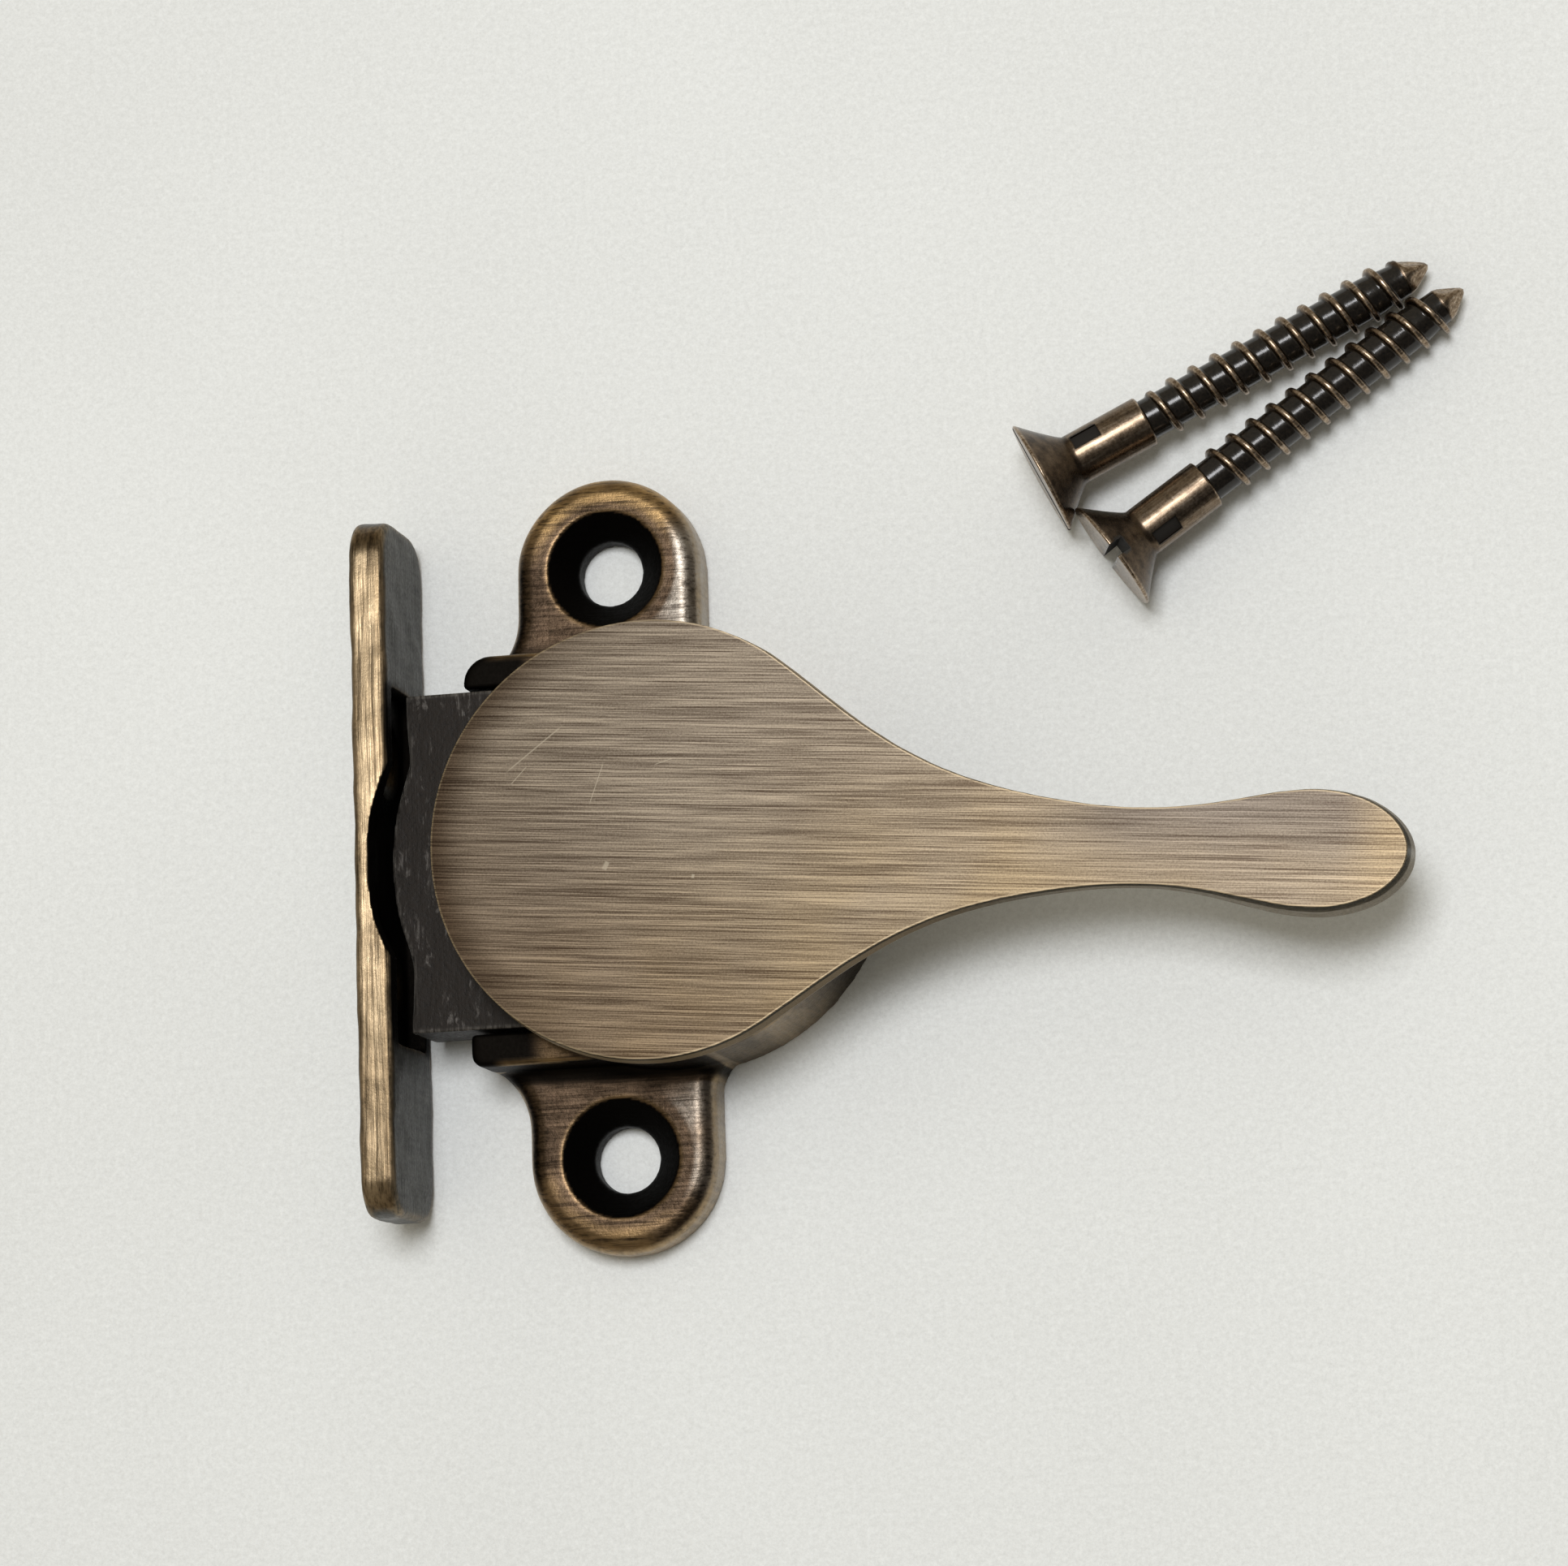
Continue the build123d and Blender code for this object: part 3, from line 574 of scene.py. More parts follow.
def screw_brass():
    """Screws: gold-brown where rubbed, glossy black in the thread's roots, and dull in the cuts.

    The wear is 1 where they are rubbed, 0 in the roots, and -1 in the slot and the nicks."""
    p = Paint("screw_brass")
    place = p.attribute("local", "Vector")
    lines = p.noise(p.stretch(place, (7, 7, 0.35)), detail=3, rough=0.6)
    grain = p.noise(place, 6.0, 3, 0.65)
    spots = p.noise(place, 1.6, 4, 0.65)
    tone = p.plus(p.times(lines, 0.6), p.times(grain, 0.4))
    gold = p.ramp(tone, (0.38, SCREW_BRONZE), (0.52, SCREW_GOLD), (0.66, SCREW_PALE))
    dark = p.ramp(grain, (0.3, DEEP_BLACK), (0.7, ROOT_PALE))
    brown = p.ramp(spots, (0.35, SCREW_UMBER), (0.65, SCREW_BROWN))
    share = p.attribute("wear")
    colour = p.mix(p.span(share, 0.02, 0.30), dark, brown)
    rubbed = p.times(p.span(share, 0.35, 0.85), p.span(spots, 0.30, 0.50, 0.6, 1.0))
    colour = p.mix(rubbed, colour, gold)
    metal = p.span(share, 0.02, 0.25, 0.25, 1.0)
    rough = p.span(grain, 0.3, 0.7, 0.14, 0.20)
    rough = p.plus(rough, p.times(p.span(share, 0.02, 0.25), 0.12))
    cut = p.span(share, -0.9, -0.1, 1.0, 0.0)
    rough = p.plus(rough, p.times(cut, 0.6))
    p.set(Base_Color=p.mix(cut, colour, CUT_BLACK), Metallic=metal, Roughness=rough)
    p.bump((grain, 0.003), (lines, 0.001))
    return p.material


def plain_metal(name, low, high, roughness, brush):
    """A machined or drawn metal between two tones, with fine lines along one direction."""
    p = Paint(name)
    place = p.place()
    lines = p.noise(p.stretch(place, brush), detail=3, rough=0.6)
    cloud = p.noise(place, 0.5, 3, 0.6)
    tone = p.plus(p.times(lines, 0.6), p.times(cloud, 0.4))
    p.set(Base_Color=p.ramp(tone, (0.35, low), (0.65, high)), Metallic=1.0)
    p.set(Roughness=p.span(cloud, 0.3, 0.7, roughness - 0.06, roughness + 0.08))
    p.bump((lines, 0.01))
    return p.material


def nylon():
    """The bush: dark moulded nylon."""
    p = Paint("nylon")
    place = p.place()
    cloud = p.noise(place, 1.2, 3, 0.6)
    grain = p.noise(place, 8.0, 2, 0.6)
    p.set(Base_Color=p.ramp(cloud, (0.3, NYLON_DARK), (0.7, NYLON_PALE)))
    p.set(Roughness=p.span(grain, 0.3, 0.7, 0.40, 0.52))
    p.bump((grain, 0.01))
    return p.material


def paper():
    """White drawing paper with a fine tooth."""
    p = Paint("paper")
    place = p.place()
    tooth = p.noise(place, 2.6, 4, 0.65)
    fibre = p.noise(p.stretch(place, (1.0, 0.25, 1.0), 0.6), 1.5, 3, 0.6, 1.2)
    cloud = p.noise(place, 0.03, 2, 0.5)
    speckle = p.noise(place, 5.5, 2, 0.8)
    tone = p.plus(p.times(tooth, 0.4), p.times(cloud, 0.2))
    tone = p.plus(tone, p.times(speckle, 0.4))
    p.set(Base_Color=p.ramp(tone, (0.38, PAPER_DARK), (0.62, PAPER_PALE)))
    p.set(Roughness=0.95, Specular_IOR_Level=0.2)
    p.bump((tooth, 0.05), (fibre, 0.04))
    return p.material


# ---- lever --------------------------------------------------------------------------------

def smoothstep(value):
    value = np.clip(value, 0, 1)
    return value * value * (3 - 2 * value)


def clamped_curve(points, first_slope, last_slope):
    """Slopes of the smooth curve through some points that has given slopes at its ends."""
    x, y = np.array(points, float).T
    size = len(x)
    matrix = np.eye(size)
    right = np.zeros(size)
    right[0], right[-1] = first_slope, last_slope
    for i in range(1, size - 1):
        before, after = x[i] - x[i - 1], x[i + 1] - x[i]
        matrix[i, i - 1:i + 2] = 1 / before, 2 * (1 / before + 1 / after), 1 / after
        right[i] = 3 * ((y[i] - y[i - 1]) / before ** 2 + (y[i + 1] - y[i]) / after ** 2)
    return x, y, np.linalg.solve(matrix, right)


def curve_at(curve, at):
    """Height and slope of such a curve at some places."""
    x, y, slope = curve
    i = np.clip(np.searchsorted(x, at) - 1, 0, len(x) - 2)
    width = x[i + 1] - x[i]
    t = (at - x[i]) / width
    a, b = y[i], y[i + 1]
    p, q = slope[i] * width, slope[i + 1] * width
    height = a + t * (p + t * (3 * (b - a) - 2 * p - q + t * (2 * (a - b) + p + q)))
    rise = (p + t * (2 * (3 * (b - a) - 2 * p - q) + t * 3 * (2 * (a - b) + p + q))) / width
    return height, rise


def lever_half_outline():
    """Points and outward normals of the lever's upper half, from the disc's far end to the tip."""
    leave = math.acos(DISC_TANGENT_X / DISC_RADIUS)
    angle = np.linspace(math.pi, leave, 70)[:-1]
    arc = np.stack([np.cos(angle), np.sin(angle)], 1)
    start = (DISC_TANGENT_X, DISC_RADIUS * math.sin(leave))
    curve = clamped_curve([start, *FLANK, (KNOB_X, KNOB_HALF)], -1 / math.tan(leave), 0)
    x = np.linspace(DISC_TANGENT_X, KNOB_X, 90)[:-1]
    y, slope = curve_at(curve, x)
    flank_normal = np.stack([-slope, np.ones_like(slope)], 1)
    turn = np.linspace(math.pi / 2, 0, 36)
    tip = np.stack([KNOB_X + KNOB_LENGTH * np.cos(turn), KNOB_HALF * np.sin(turn)], 1)
    tip_normal = np.stack([np.cos(turn) / KNOB_LENGTH, np.sin(turn) / KNOB_HALF], 1)
    points = np.concatenate([arc * DISC_RADIUS, np.stack([x, y], 1), tip])
    normals = np.concatenate([arc, flank_normal, tip_normal])
    return points, normals / np.linalg.norm(normals, axis=1)[:, None]


def closed_loop(half):
    """The upper half followed by its mirror image, without the two shared ends."""
    lower = half[-2:0:-1].copy()
    lower[:, 1] *= -1
    return np.concatenate([half, lower])


def lever_section(x):
    """Band height, thickness and reach of the underside's rounding along the lever."""
    neck = smoothstep((x - NECK_FROM_X) / SECTION_BLEND)
    knob = smoothstep((x - KNOB_FROM_X) / SECTION_BLEND)
    band = BAND_DISC + (BAND_NECK - BAND_DISC) * neck + BAND_KNOB_MORE * knob
    thick = DISC_THICK + (NECK_THICK - DISC_THICK) * neck + (KNOB_THICK - NECK_THICK) * knob
    reach = REACH_DISC + REACH_NECK_MORE * neck + REACH_KNOB_MORE * knob
    return band, thick, reach


def make_lever():
    """The lever's body, with the places and shares that its material reads."""
    half, half_normal = lever_half_outline()
    count = len(half)
    loop = closed_loop(half)
    normal = closed_loop(half_normal)
    band, thick, reach = lever_section(loop[:, 0])
    level = np.column_stack([loop, np.zeros(len(loop))])
    dents = sway(level, 1.1, 3) + 0.6 * sway(level, 0.4, 4)

    # rings from the top face's inner border over the edge and down to the underside's border:
    # outward offset, depth below the top, wear, side, under
    rings = [(-0.30, 0.0, 0.0, 0.0, 0.0), (-EDGE_ROUND - 0.07, 0.0, 0.0, 0.0, 0.0),
             (-EDGE_ROUND - 0.01, 0.0, 1.0, 0.0, 0.0)]
    for turn, worn, sided in ((45, 1.0, 0.0), (90, 0.0, 0.5)):
        a = math.radians(turn)
        rings.append((EDGE_ROUND * (math.sin(a) - 1), EDGE_ROUND * (1 - math.cos(a)), worn, sided,
                      0.0))
    parts = [(loop + normal * (o + DENT * dents * (o > -0.2))[:, None], np.full(len(loop), d),
              w, s, u) for o, d, w, s, u in rings]
    knob = smoothstep((loop[:, 0] - 16) / 10)
    flare = LEVER_FLARE * (0.4 + 0.6 * smoothstep((loop[:, 0] - 29) / 6))
    # the side band: share of its height, side, and whether the knob's smooth finish has begun
    for share, sided, beneath in ((0.04, 0.5, 0), (0.25, 0.6, 0), (0.35, 1.0, 0), (0.42, 1.0, 0),
                                  (0.52, 1.0, 1), (0.97, 1.0, 1), (1.0, 1.0, 1)):
        drop = EDGE_ROUND + share * (band - EDGE_ROUND)
        lean = flare * share + DENT_BAND * dents
        parts.append((loop + normal * lean[:, None], drop, 0.0, sided, beneath * knob))
    for turn in (8, 18, 36, 54, 72, 90):
        a = math.radians(turn)
        lean = flare - reach * (1 - math.cos(a))
        drop = band + (thick - band) * math.sin(a)
        parts.append((loop + normal * lean[:, None], drop, 0.0, 1.0, 1.0))

    points, wear, side, under, rows = [], [], [], [], []
    for flat, drop, worn, sided, beneath in parts:
        rows.append(len(points) + np.arange(len(loop)))
        points += [(x, y, -d) for (x, y), d in zip(flat, drop)]
        wear += [worn] * len(loop)
        side += [sided] * len(loop)
        under += list(np.broadcast_to(beneath, len(loop)))
    faces = []
    size = len(loop)
    for upper, lower in zip(rows, rows[1:]):
        for i in range(size):
            j = (i + 1) % size
            faces.append((upper[i], upper[j], lower[j], lower[i]))

    # the top and the underside: ribs from one flank to the other
    across = LEVER_RIBS
    for row, is_top in ((rows[0], True), (rows[-1], False)):
        below = 0.0 if is_top else 1.0
        ribs = [[int(row[0])]]
        for i in range(1, count - 1):
            a, b = int(row[i]), int(row[size - i])
            rib = [a]
            for k in range(1, across):
                t = k / across
                place = [(1 - t) * m + t * n for m, n in zip(points[a], points[b])]
                rib.append(len(points))
                points.append(tuple(place))
                wear.append(0.0)
                side.append(below)
                under.append(below)
            ribs.append(rib + [b])
        ribs.append([int(row[count - 1])])
        for one, two in zip(ribs, ribs[1:]):
            if len(one) == 1:
                strips = [(one[0], two[k + 1], two[k]) for k in range(across)]
            elif len(two) == 1:
                strips = [(one[k], one[k + 1], two[0]) for k in range(across)]
            else:
                strips = [(one[k], one[k + 1], two[k + 1], two[k]) for k in range(across)]
            faces += strips if is_top else [tuple(reversed(s)) for s in strips]

    local = np.array(points)
    pivot = (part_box("spindle")[0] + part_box("spindle")[1]) / 2 / MM
    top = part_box("lever")[1].z / MM
    turn = np.array(Matrix.Rotation(LEVER_ANGLE, 3, "Z"))
    placed = local @ turn.T + np.array([pivot.x, pivot.y, top])
    lever = new_piece("lever_body", placed, faces)
    mesh = lever.data
    set_values(mesh, "local", local)
    set_values(mesh, "wear", wear)
    set_values(mesh, "side", side)
    set_values(mesh, "under", under)
    map_brush(mesh, local, (0, 1, 0.3), (1, 0, 0))
    return lever


# ---- castings -----------------------------------------------------------------------------

def casting(node, name, voxel, wobble, across, along):
    """A CAD node as an even mesh with softened edges and a slightly uneven skin.

    Across and along are the directions of its brush lines, for the gloss."""
    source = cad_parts[node]
    piece = link(bpy.data.objects.new(name, source.data.copy()))
    piece.data.materials.clear()
    remesh = piece.modifiers.new("even", "REMESH")
    remesh.mode = "VOXEL"
    remesh.voxel_size = voxel * MM
    soften = piece.modifiers.new("soften", "SMOOTH")
    soften.factor = 0.5
    soften.iterations = 3
    apply_modifiers(piece)
    mesh = piece.data
    points = read_points(mesh)
    normals = read_normals(mesh)
    uneven = sway(points / MM, 2.6, 1) + 0.5 * sway(points / MM, 1.1, 2)
    write_points(mesh, points + normals * (uneven - 0.6)[:, None] * wobble * MM)
    keep_inside(mesh, node)
    map_brush(mesh, points / MM, across, along)
    return piece


def keep_inside(mesh, node):
    """Brings every point inside the CAD node's own box."""
    write_points(mesh, np.clip(read_points(mesh), *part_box(node)))


def mark_wear(mesh, edge, corner, rubbed=0.0, dark=0.0):
    """Marks rubbed edges, dark corners and walls from the shape itself, plus given shares; the
    given dark share holds patina and painted shade.

    Edge and corner are the bulges at which the wear and the darkness are full."""
    value = bulge(mesh)
    wall = smoothstep((0.75 - np.abs(read_normals(mesh)[:, 2])) / 0.35)
    set_values(mesh, "wear", np.maximum(smoothstep(value / edge), rubbed))
    set_values(mesh, "patina_and_shade", np.maximum(smoothstep(-value / corner), dark))
    set_values(mesh, "wall", wall)


def case_marks(mesh):
    """Where the case is rubbed golden, and where it is black: with patina in some places and
    painted shade in others.

    Also stores a painted pale highlight. Bearings are in degrees about an ear's hole, from the
    arm's side round towards the ear's tip."""
    x, y, z = (read_points(mesh) / MM).T
    out = np.abs(y)
    upper = y > 0
    on_ear = out > CHEEK_HALF
    steep = smoothstep((0.85 - np.abs(read_normals(mesh)[:, 2])) / 0.3)
    from_hole = np.hypot(x, out - HOLE_SPACING / 2)
    bearing = np.degrees(np.arctan2(out - HOLE_SPACING / 2, x))
    uneven = 0.85 + 0.7 * sway(np.column_stack([x, y, z]), 1.6, 9)

    # a painted pale highlight on the ears' flanks on the arm's side
    flank = smoothstep((50 - np.abs(bearing + 10)) / 30)
    flank *= smoothstep((from_hole - EAR_PALE_RADIUS) / 0.3)
    flank *= (out > CHEEK_HALF + 1.2) * np.where(upper, 0.75, 0.4)

    # golden round the ears' tips, on the cheeks' rims, and in a patch on the lower cheek
    ring = smoothstep((from_hole - EAR_RUB_RADIUS) / 0.8) * on_ear * (z > 1.0)
    ring *= np.where(upper, smoothstep((85 - np.abs(bearing - 95)) / 45) * 0.8,
                     smoothstep((75 - np.abs(bearing - 110)) / 45) * 0.35)
    cheek_rim = smoothstep((out - CHEEK_HALF + 0.45) / 0.3) * (z > CHEEK_TOP - 0.4)
    cheek_rim *= smoothstep((x + 6.6) / 1.0) * smoothstep((-2 - x) / 1.0) * 0.5
    patch = smoothstep((x + 4.9) / 1.2) * (z > CHEEK_TOP - 0.3) * (y < 0) * 0.14 * uneven
    rubbed = np.maximum.reduce([ring * uneven, cheek_rim, patch * (x < -2)])

    # black in the countersinks, at the cheeks' front and in the channel, and painted shade above
    # the ears and at the cheeks' foot
    sunk = (from_hole < SINK_RADIUS - 0.04) & (z < EAR_TOP - 0.05)
    # painted shade on the steep walls above the ears
    above_ear = steep * (z > EAR_TOP + 0.15) * smoothstep((6.5 - x) / 1.5) * (out > 11.0)
    front = smoothstep((-3.0 - x) / 1.5) * (z > EAR_TOP)
    # painted shadow of the disc on the ears, along the cheeks' foot
    foot = smoothstep((12.95 - out) / 0.6) * on_ear * (x < 6) * np.where(upper, 0.6, 0.95)
    inside = (out < CHANNEL_HALF) & (x < -4.0)

    # the drum's wall is brown near the lower ear and darkens round towards the arm
    turn = np.degrees(np.arctan2(y, x - DRUM_X))
    on_drum = (np.hypot(x - DRUM_X, y) > DRUM_RADIUS - 0.4) & (x > 5)
    on_drum &= (y < 0) & (out < CHEEK_HALF)
    drum = 0.15 + 0.45 * smoothstep((-60 - turn) / 8)
    drum += 0.75 * smoothstep((turn + 60) / 24) * (1 - 0.5 * smoothstep((turn + 36) / 20))
    dark = np.maximum.reduce([sunk * 1.0, above_ear * (1 - cheek_rim), front * (1 - cheek_rim),
                              foot, inside * 1.0, steep * on_drum * drum])
    set_values(mesh, "pale", np.clip(flank * uneven, 0, 1))
    return np.clip(rubbed, 0, 1), dark


def keeper_marks(mesh):
    """Where the keeper is rubbed, on its top, and where its pocket is black with painted shadow and
    reflection of the bolt.
    """
    x, y, z = (read_points(mesh) / MM).T
    top = smoothstep((read_normals(mesh)[:, 2] - 0.45) / 0.4) * (z > KEEPER_SHOULDER)
    ends = smoothstep((np.where(y > 0, KEEPER_RUB_UPPER, KEEPER_RUB_LOWER) - np.abs(y)) / 0.9)
    # painted shadow and reflection of the bolt, black in the pocket beside it
    pocket = smoothstep((POCKET_HALF + 0.5 - np.abs(y)) / 0.7)
    pocket *= smoothstep((x - POCKET_FLOOR_X) / 0.5)
    middle = (x.min() + x.max()) / 2
    border = smoothstep((np.abs(x - middle + 0.1) / (x.max() - middle) - 0.35) / 0.45)
    top_wear = top * (1 - 0.65 * border)
    streaks = 0.8 + 0.5 * sway(np.column_stack([x * 3, y / 4, z]), 1.0, 5)
    low = 0.6 + 0.4 * smoothstep((y + 14) / 6)
    return np.clip(top_wear * (0.15 + 0.85 * ends) * streaks * low, 0, 1), pocket * (1 - top) ** 2


# ---- wood screws --------------------------------------------------------------------------

def screw_rows():
    """Places along the screw's axis, with the plain radius and how golden the metal is there."""
    rows = [(0.0, 0.6, 0.6), (0.0, 1.8, 0.6), (0.0, 3.0, 0.8), (0.0, SCREW_HEAD_RADIUS - 0.06, 0.9),
            (0.03, SCREW_HEAD_RADIUS - 0.015, 1.0), (0.07, SCREW_HEAD_RADIUS, 1.0),
            (SCREW_RIM, SCREW_HEAD_RADIUS, 1.0), (SCREW_RIM + 0.06, SCREW_HEAD_RADIUS - 0.05, 0.7)]
    start = SCREW_RIM + 0.06
    for step in range(1, FLARE_STEPS + 1):
        t = step / FLARE_STEPS
        s = start + t * (SCREW_NECK - start)
        flare = (1 - t) ** FLARE_BEND
        rows.append((s, SHANK_RADIUS + (SCREW_HEAD_RADIUS - 0.05 - SHANK_RADIUS) * flare,
                     0.22 + 0.1 * flare))
    for s in np.arange(SCREW_NECK + 0.25, SHANK_END, 0.25):
        rows.append((s, SHANK_RADIUS, min(0.58, 0.25 + (s - SCREW_NECK) * 1.2)))
    rows += [(SHANK_END - 0.06, SHANK_RADIUS, 1.0), (SHANK_END, SHANK_RADIUS - 0.04, 0.9),
             (SHANK_END + 0.04, SHANK_RADIUS - 0.12, 0.2), (SHANK_END + 0.12, ROOT_RADIUS, 0.0)]
    tip_start = SCREW_LENGTH - TIP_LENGTH
    for s in np.arange(SHANK_END + 0.2, tip_start, THREAD_PITCH / THREAD_STEPS):
        narrow = smoothstep((s - tip_start + 2.5) / 2.5)
        golden = 0.9 * smoothstep((s - tip_start + 0.2) / 0.2)
        rows.append((s, ROOT_RADIUS + (ROOT_END_RADIUS - ROOT_RADIUS) * narrow, golden))
    for t in (0.0, 0.2, 0.4, 0.6, 0.8, 0.92):
        s = tip_start + t * TIP_LENGTH
        rows.append((s, ROOT_END_RADIUS * (1 - t) ** 0.9 + 0.10 * t, 0.95))
    return rows


def thread_ridge(s, angle):
    """Height share of the helical ridge at a place on the screw."""
    phase = (s - THREAD_START) / THREAD_PITCH - angle / (2 * math.pi)
    nearest = np.round(phase)
    distance = np.abs(phase - nearest) * THREAD_PITCH
    flat, foot = THREAD_CREST / 2, THREAD_FOOT / 2
    ridge = smoothstep((foot - distance) / (foot - flat))
    turn = nearest + angle / (2 * math.pi)
    ends = smoothstep((turn + 0.15) / 0.3) * smoothstep((THREAD_TURNS + 0.35 - turn) / 0.5)
    return ridge * ends


def screw_cutter(name, size, centre, turn):
    """A block that cuts a slot or a nick. One unit is a millimetre, as in the uncut screw."""
    x, y, z = (n / 2 for n in size)
    corners = [(i * x, j * y, k * z) for k in (-1, 1) for j in (-1, 1) for i in (-1, 1)]
    faces = [(0, 2, 3, 1), (4, 5, 7, 6), (0, 1, 5, 4), (2, 6, 7, 3), (0, 4, 6, 2), (1, 3, 7, 5)]
    spin = Matrix.Rotation(math.radians(turn), 3, "Z")
    points = [spin @ (Vector(c) + Vector(centre)) for c in corners]
    return new_piece(name, points, faces, 1)


def blacken_cuts(mesh, local):
    """Marks the floors and walls of the slot and the nicks as black, with a wear of -1."""
    worn = np.zeros(len(mesh.vertices), np.float32)
    mesh.attributes["wear"].data.foreach_get("value", worn)
    mesh.attributes.remove(mesh.attributes["wear"])
    corner_wear = np.zeros(len(mesh.loops), np.float32)
    for face in mesh.polygons:
        middle = local[list(face.vertices)].mean(axis=0)
        radius = math.hypot(middle[0], middle[1])
        in_nick = NICK_START - 0.05 < middle[2] < NICK_START + NICK_LENGTH + 0.05
        in_nick = in_nick and radius < SHANK_RADIUS - 0.03
        in_slot = 0.01 < middle[2] < SLOT_DEPTH + 0.05 and abs(middle[1]) < SLOT_WIDTH / 2 + 0.01
        for loop in face.loop_indices:
            vertex = mesh.loops[loop].vertex_index
            corner_wear[loop] = -1.0 if in_nick or in_slot else worn[vertex]
    layer = mesh.attributes.new("wear", "FLOAT", "CORNER")
    layer.data.foreach_set("value", corner_wear)


def make_screw(number, x, y, bearing, turn, nick_turn):
    """A wood screw with its thread, its slot and its nicks, laid on the paper."""
    columns = SCREW_COLUMNS
    rows = screw_rows()
    angles = np.arange(columns) / columns * 2 * math.pi
    points, wear = [(0, 0, 0)], [0.6]
    for s, radius, golden in rows:
        ridge = thread_ridge(s, angles)
        r = radius + (CREST_RADIUS - radius) * ridge if s > SHANK_END + 0.15 else radius + 0 * ridge
        if s > SCREW_LENGTH - TIP_LENGTH:
            r = r * (1 + TIP_FACETS * np.cos(4 * angles + 0.7))
        points += [(a * math.cos(t), a * math.sin(t), s) for a, t in zip(r, angles)]
        wear += list(np.maximum(golden, ridge))
    points.append((0, 0, SCREW_LENGTH))
    wear.append(0.9)
    faces = []
    for j in range(columns):
        k = (j + 1) % columns
        faces.append((0, 1 + k, 1 + j))
        for i in range(len(rows) - 1):
            low, high = 1 + i * columns, 1 + (i + 1) * columns
            faces.append((low + j, low + k, high + k, high + j))
        last = 1 + (len(rows) - 1) * columns
        faces.append((last + j, last + k, len(points) - 1))
    name = f"wood_screw_{number}_body"
    # the cuts are cleaner at a larger scale, so one unit is a millimetre until the screw is placed
    screw = new_piece(name, points, faces, 1)
    set_values(screw.data, "wear", wear)
    reach = SHANK_RADIUS + 1
    nick_middle = NICK_START + NICK_LENGTH / 2
    nick_x = SHANK_RADIUS - NICK_DEPTH + reach / 2
    cutters = [screw_cutter("slot_cutter", (3 * SCREW_HEAD_RADIUS, SLOT_WIDTH, 2 * SLOT_DEPTH),
                            (0, 0, 0), 0)]
    for side in (nick_turn, nick_turn + 180):
        cutters.append(screw_cutter("nick_cutter", (reach, NICK_WIDTH, NICK_LENGTH),
                                    (nick_x, 0, nick_middle), side))
    for cutter in cutters:
        cut = screw.modifiers.new("cut", "BOOLEAN")
        cut.operation = "DIFFERENCE"
        cut.solver = "EXACT"
        cut.object = cutter
    apply_modifiers(screw)
    for cutter in cutters:
        bpy.data.objects.remove(cutter)
    mesh = screw.data
    mesh.set_sharp_from_angle(angle=math.radians(50))
    local = read_points(mesh)
    blacken_cuts(mesh, local)
    set_values(mesh, "local", local + 11 * number)
    slope = math.asin((SCREW_HEAD_RADIUS - CREST_RADIUS)
                      / (THREAD_START + THREAD_PITCH * THREAD_TURNS))
    height = SCREW_HEAD_RADIUS * math.cos(slope)
    place = (Matrix.Translation((x, y, height))
             @ Matrix.Rotation(math.radians(bearing), 4, "Z")
             @ Matrix.Rotation(math.pi / 2 + slope, 4, "Y")
             @ Matrix.Rotation(math.radians(turn), 4, "Z"))
    turned = local @ np.array(place.to_3x3()).T + np.array(place.to_translation())
    write_points(mesh, turned * MM)
    keep_inside(mesh, f"wood_screw_{number}")
    return screw


# ---- the object ---------------------------------------------------------------------------

def finish_piece(piece, body, node, material):
    """Puts a finished piece in the place of a CAD node."""
    piece.data.materials.clear()
    piece.data.materials.append(material)
    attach(piece, body)
    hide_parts(node)


def make_spring(node, material):
    """A bolt spring with the CAD node's shape, on its own copy of the mesh."""
    spring = link(bpy.data.objects.new(node + "_coil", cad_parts[node].data.copy()))
    finish_piece(spring, "root", node, material)
    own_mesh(spring)


def dress(names, material):
    """Gives CAD nodes a procedural material."""
    for name in names:
        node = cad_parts[name]
        node.data.materials.clear()
        node.data.materials.append(material)


case_brass = cast_brass("case_brass", brush=(0.35, 6, 4), base=(0.062, 0.041, 0.026),
                        wall=(0.28, 0.205, 0.12), rubbed=(0.37, 0.235, 0.10), spread=0.1,
                        smooth=0.30, relief=0.016)
keeper_brass = cast_brass("keeper_brass", brush=(5.0, 0.16, 3), base=(0.105, 0.070, 0.036),
                          wall=(0.053, 0.052, 0.046), rubbed=(0.36, 0.27, 0.165), spread=0.6,
                          smooth=0.32, relief=0.035)
plated_screw = screw_brass()

finish_piece(make_lever(), "lever", "lever", brushed_brass())

case_piece = casting("case", "case_body", CASE_VOXEL, CAST_WOBBLE, (0, 1, 0.7), (1, 0, 0))
mark_wear(case_piece.data, 0.20, 0.14, *case_marks(case_piece.data))
finish_piece(case_piece, "root", "case", case_brass)

keeper_piece = casting("keeper", "keeper_body", KEEPER_VOXEL, KEEPER_WOBBLE, (1, 0, 0.7),
                       (0, 1, 0))
mark_wear(keeper_piece.data, 0.16, 0.14, *keeper_marks(keeper_piece.data))
finish_piece(keeper_piece, "keeper", "keeper", keeper_brass)

bolt_piece = casting("bolt", "bolt_body", BOLT_VOXEL, CAST_WOBBLE, (1, 0, 0.7), (0, 1, 0))
mark_wear(bolt_piece.data, 0.20, 0.14)
finish_piece(bolt_piece, "bolt", "bolt", black_bolt())

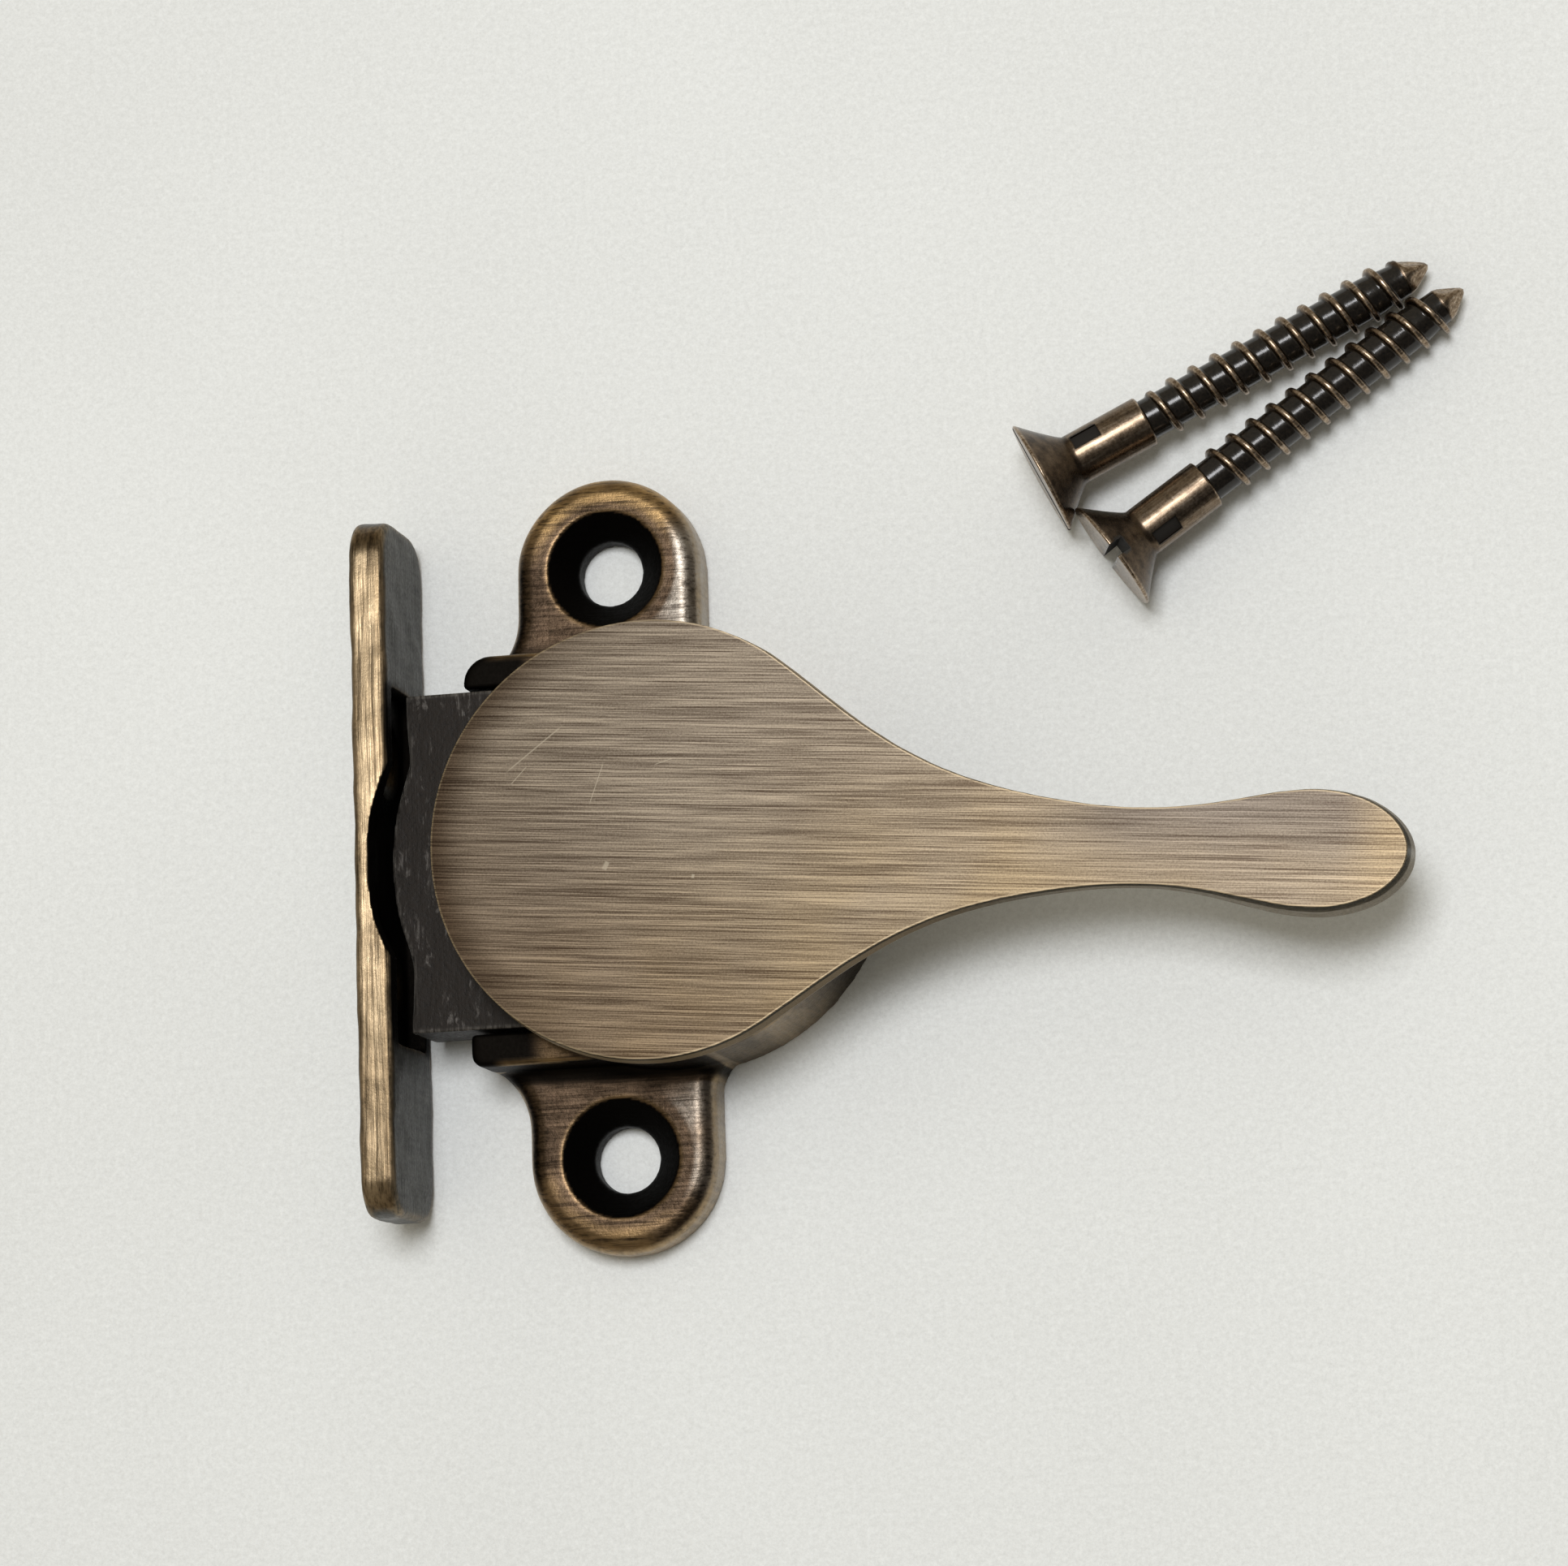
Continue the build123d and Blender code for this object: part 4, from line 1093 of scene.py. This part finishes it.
for screw_number, screw_place in enumerate(SCREW_PLACES, 1):
    screw_name = f"wood_screw_{screw_number}"
    finish_piece(make_screw(screw_number, *screw_place), screw_name, screw_name,
                 plated_screw)

dress(["back_plate"],
      plain_metal("plate_steel", low=(0.30, 0.29, 0.26), high=(0.46, 0.45, 0.42), roughness=0.38,
                  brush=(0.3, 6, 3)))
dress(["plate_rivet_1", "plate_rivet_2", "plate_rivet_3", "spindle", "crank_plate", "crank_pin",
       "spindle_washer"],
      plain_metal("steel", low=(0.34, 0.33, 0.32), high=(0.52, 0.51, 0.50), roughness=0.32,
                  brush=(3, 3, 3)))
spring_steel = plain_metal("spring_steel", low=(0.20, 0.20, 0.20), high=(0.42, 0.42, 0.41),
                           roughness=0.26, brush=(2, 9, 9))
dress(["retaining_ring"], spring_steel)
for spring_node in ("bolt_spring_1", "bolt_spring_2"):
    make_spring(spring_node, spring_steel)
dress(["spindle_bush"], nylon())


# ---- stage --------------------------------------------------------------------------------

def make_floor():
    """A large flat sheet of paper, just below the latch."""
    steps = FLOOR_STEPS
    line = np.linspace(-FLOOR_HALF, FLOOR_HALF, steps + 1)
    points = [(x, y, FLOOR_Z) for y in line for x in line]
    corners = [j * (steps + 1) + i for j in range(steps) for i in range(steps)]
    faces = [(a, a + 1, a + steps + 2, a + steps + 1) for a in corners]
    floor = new_piece("paper_floor", points, faces)
    floor.data.materials.append(paper())


def make_panel():
    """The square soft light above, which faces the latch."""
    lamp = bpy.data.lights.new("ceiling_panel", "AREA")
    side = PANEL_SIZE * MM
    lamp.size = side
    lamp.energy = PANEL_RADIANCE * math.pi * side ** 2
    lamp.color = PANEL_COLOUR
    obj = link(bpy.data.objects.new("ceiling_panel", lamp))
    obj.location = [MM * c for c in PANEL_PLACE]
    obj.rotation_euler = (-obj.location).to_track_quat("-Z", "Y").to_euler()


def make_world():
    """A plain room: a pale ceiling that darkens towards the walls, and one dark side."""
    world = bpy.data.worlds.new("studio")
    world.use_nodes = True
    tree = world.node_tree
    background = tree.nodes["Background"]
    direction = tree.nodes.new("ShaderNodeTexCoord").outputs["Generated"]
    split = tree.nodes.new("ShaderNodeSeparateXYZ")
    tree.links.new(direction, split.inputs[0])
    band = tree.nodes.new("ShaderNodeValToRGB")
    band.color_ramp.elements[0].color = (*ROOM_WALL, 1)
    band.color_ramp.elements[1].position = ROOM_CEILING_FROM
    band.color_ramp.elements[1].color = (*ROOM_CEILING, 1)
    tree.links.new(split.outputs["Z"], band.inputs["Fac"])
    facing = tree.nodes.new("ShaderNodeVectorMath")
    facing.operation = "DOT_PRODUCT"
    tree.links.new(direction, facing.inputs[0])
    facing.inputs[1].default_value = Vector(ROOM_DARK_TOWARDS).normalized()
    shade = tree.nodes.new("ShaderNodeMapRange")
    shade.interpolation_type = "SMOOTHSTEP"
    shade.inputs["From Min"].default_value = ROOM_DARK_EDGE
    shade.inputs["From Max"].default_value = ROOM_DARK_FULL
    tree.links.new(facing.outputs["Value"], shade.inputs["Value"])
    dark = tree.nodes.new("ShaderNodeMix")
    dark.data_type = "RGBA"
    tree.links.new(shade.outputs["Result"], dark.inputs["Factor"])
    tree.links.new(band.outputs["Color"], dark.inputs[6])
    dark.inputs[7].default_value = (*ROOM_DARK, 1)
    tree.links.new(dark.outputs[2], background.inputs["Color"])
    bpy.context.scene.world = world


def make_camera():
    """The camera, at the viewing angle that was fitted to the latch."""
    camera = bpy.data.cameras.new("camera")
    camera.lens = CAMERA_LENS
    camera.sensor_width = 36
    camera.clip_start = 0.01
    obj = link(bpy.data.objects.new("camera", camera))
    obj.location = [MM * c for c in CAMERA_PLACE]
    obj.rotation_mode = "ZYX"
    obj.rotation_euler = CAMERA_TURN
    bpy.context.scene.camera = obj


make_floor()
make_world()
make_panel()
make_camera()
bpy.context.scene.view_settings.view_transform = "Standard"
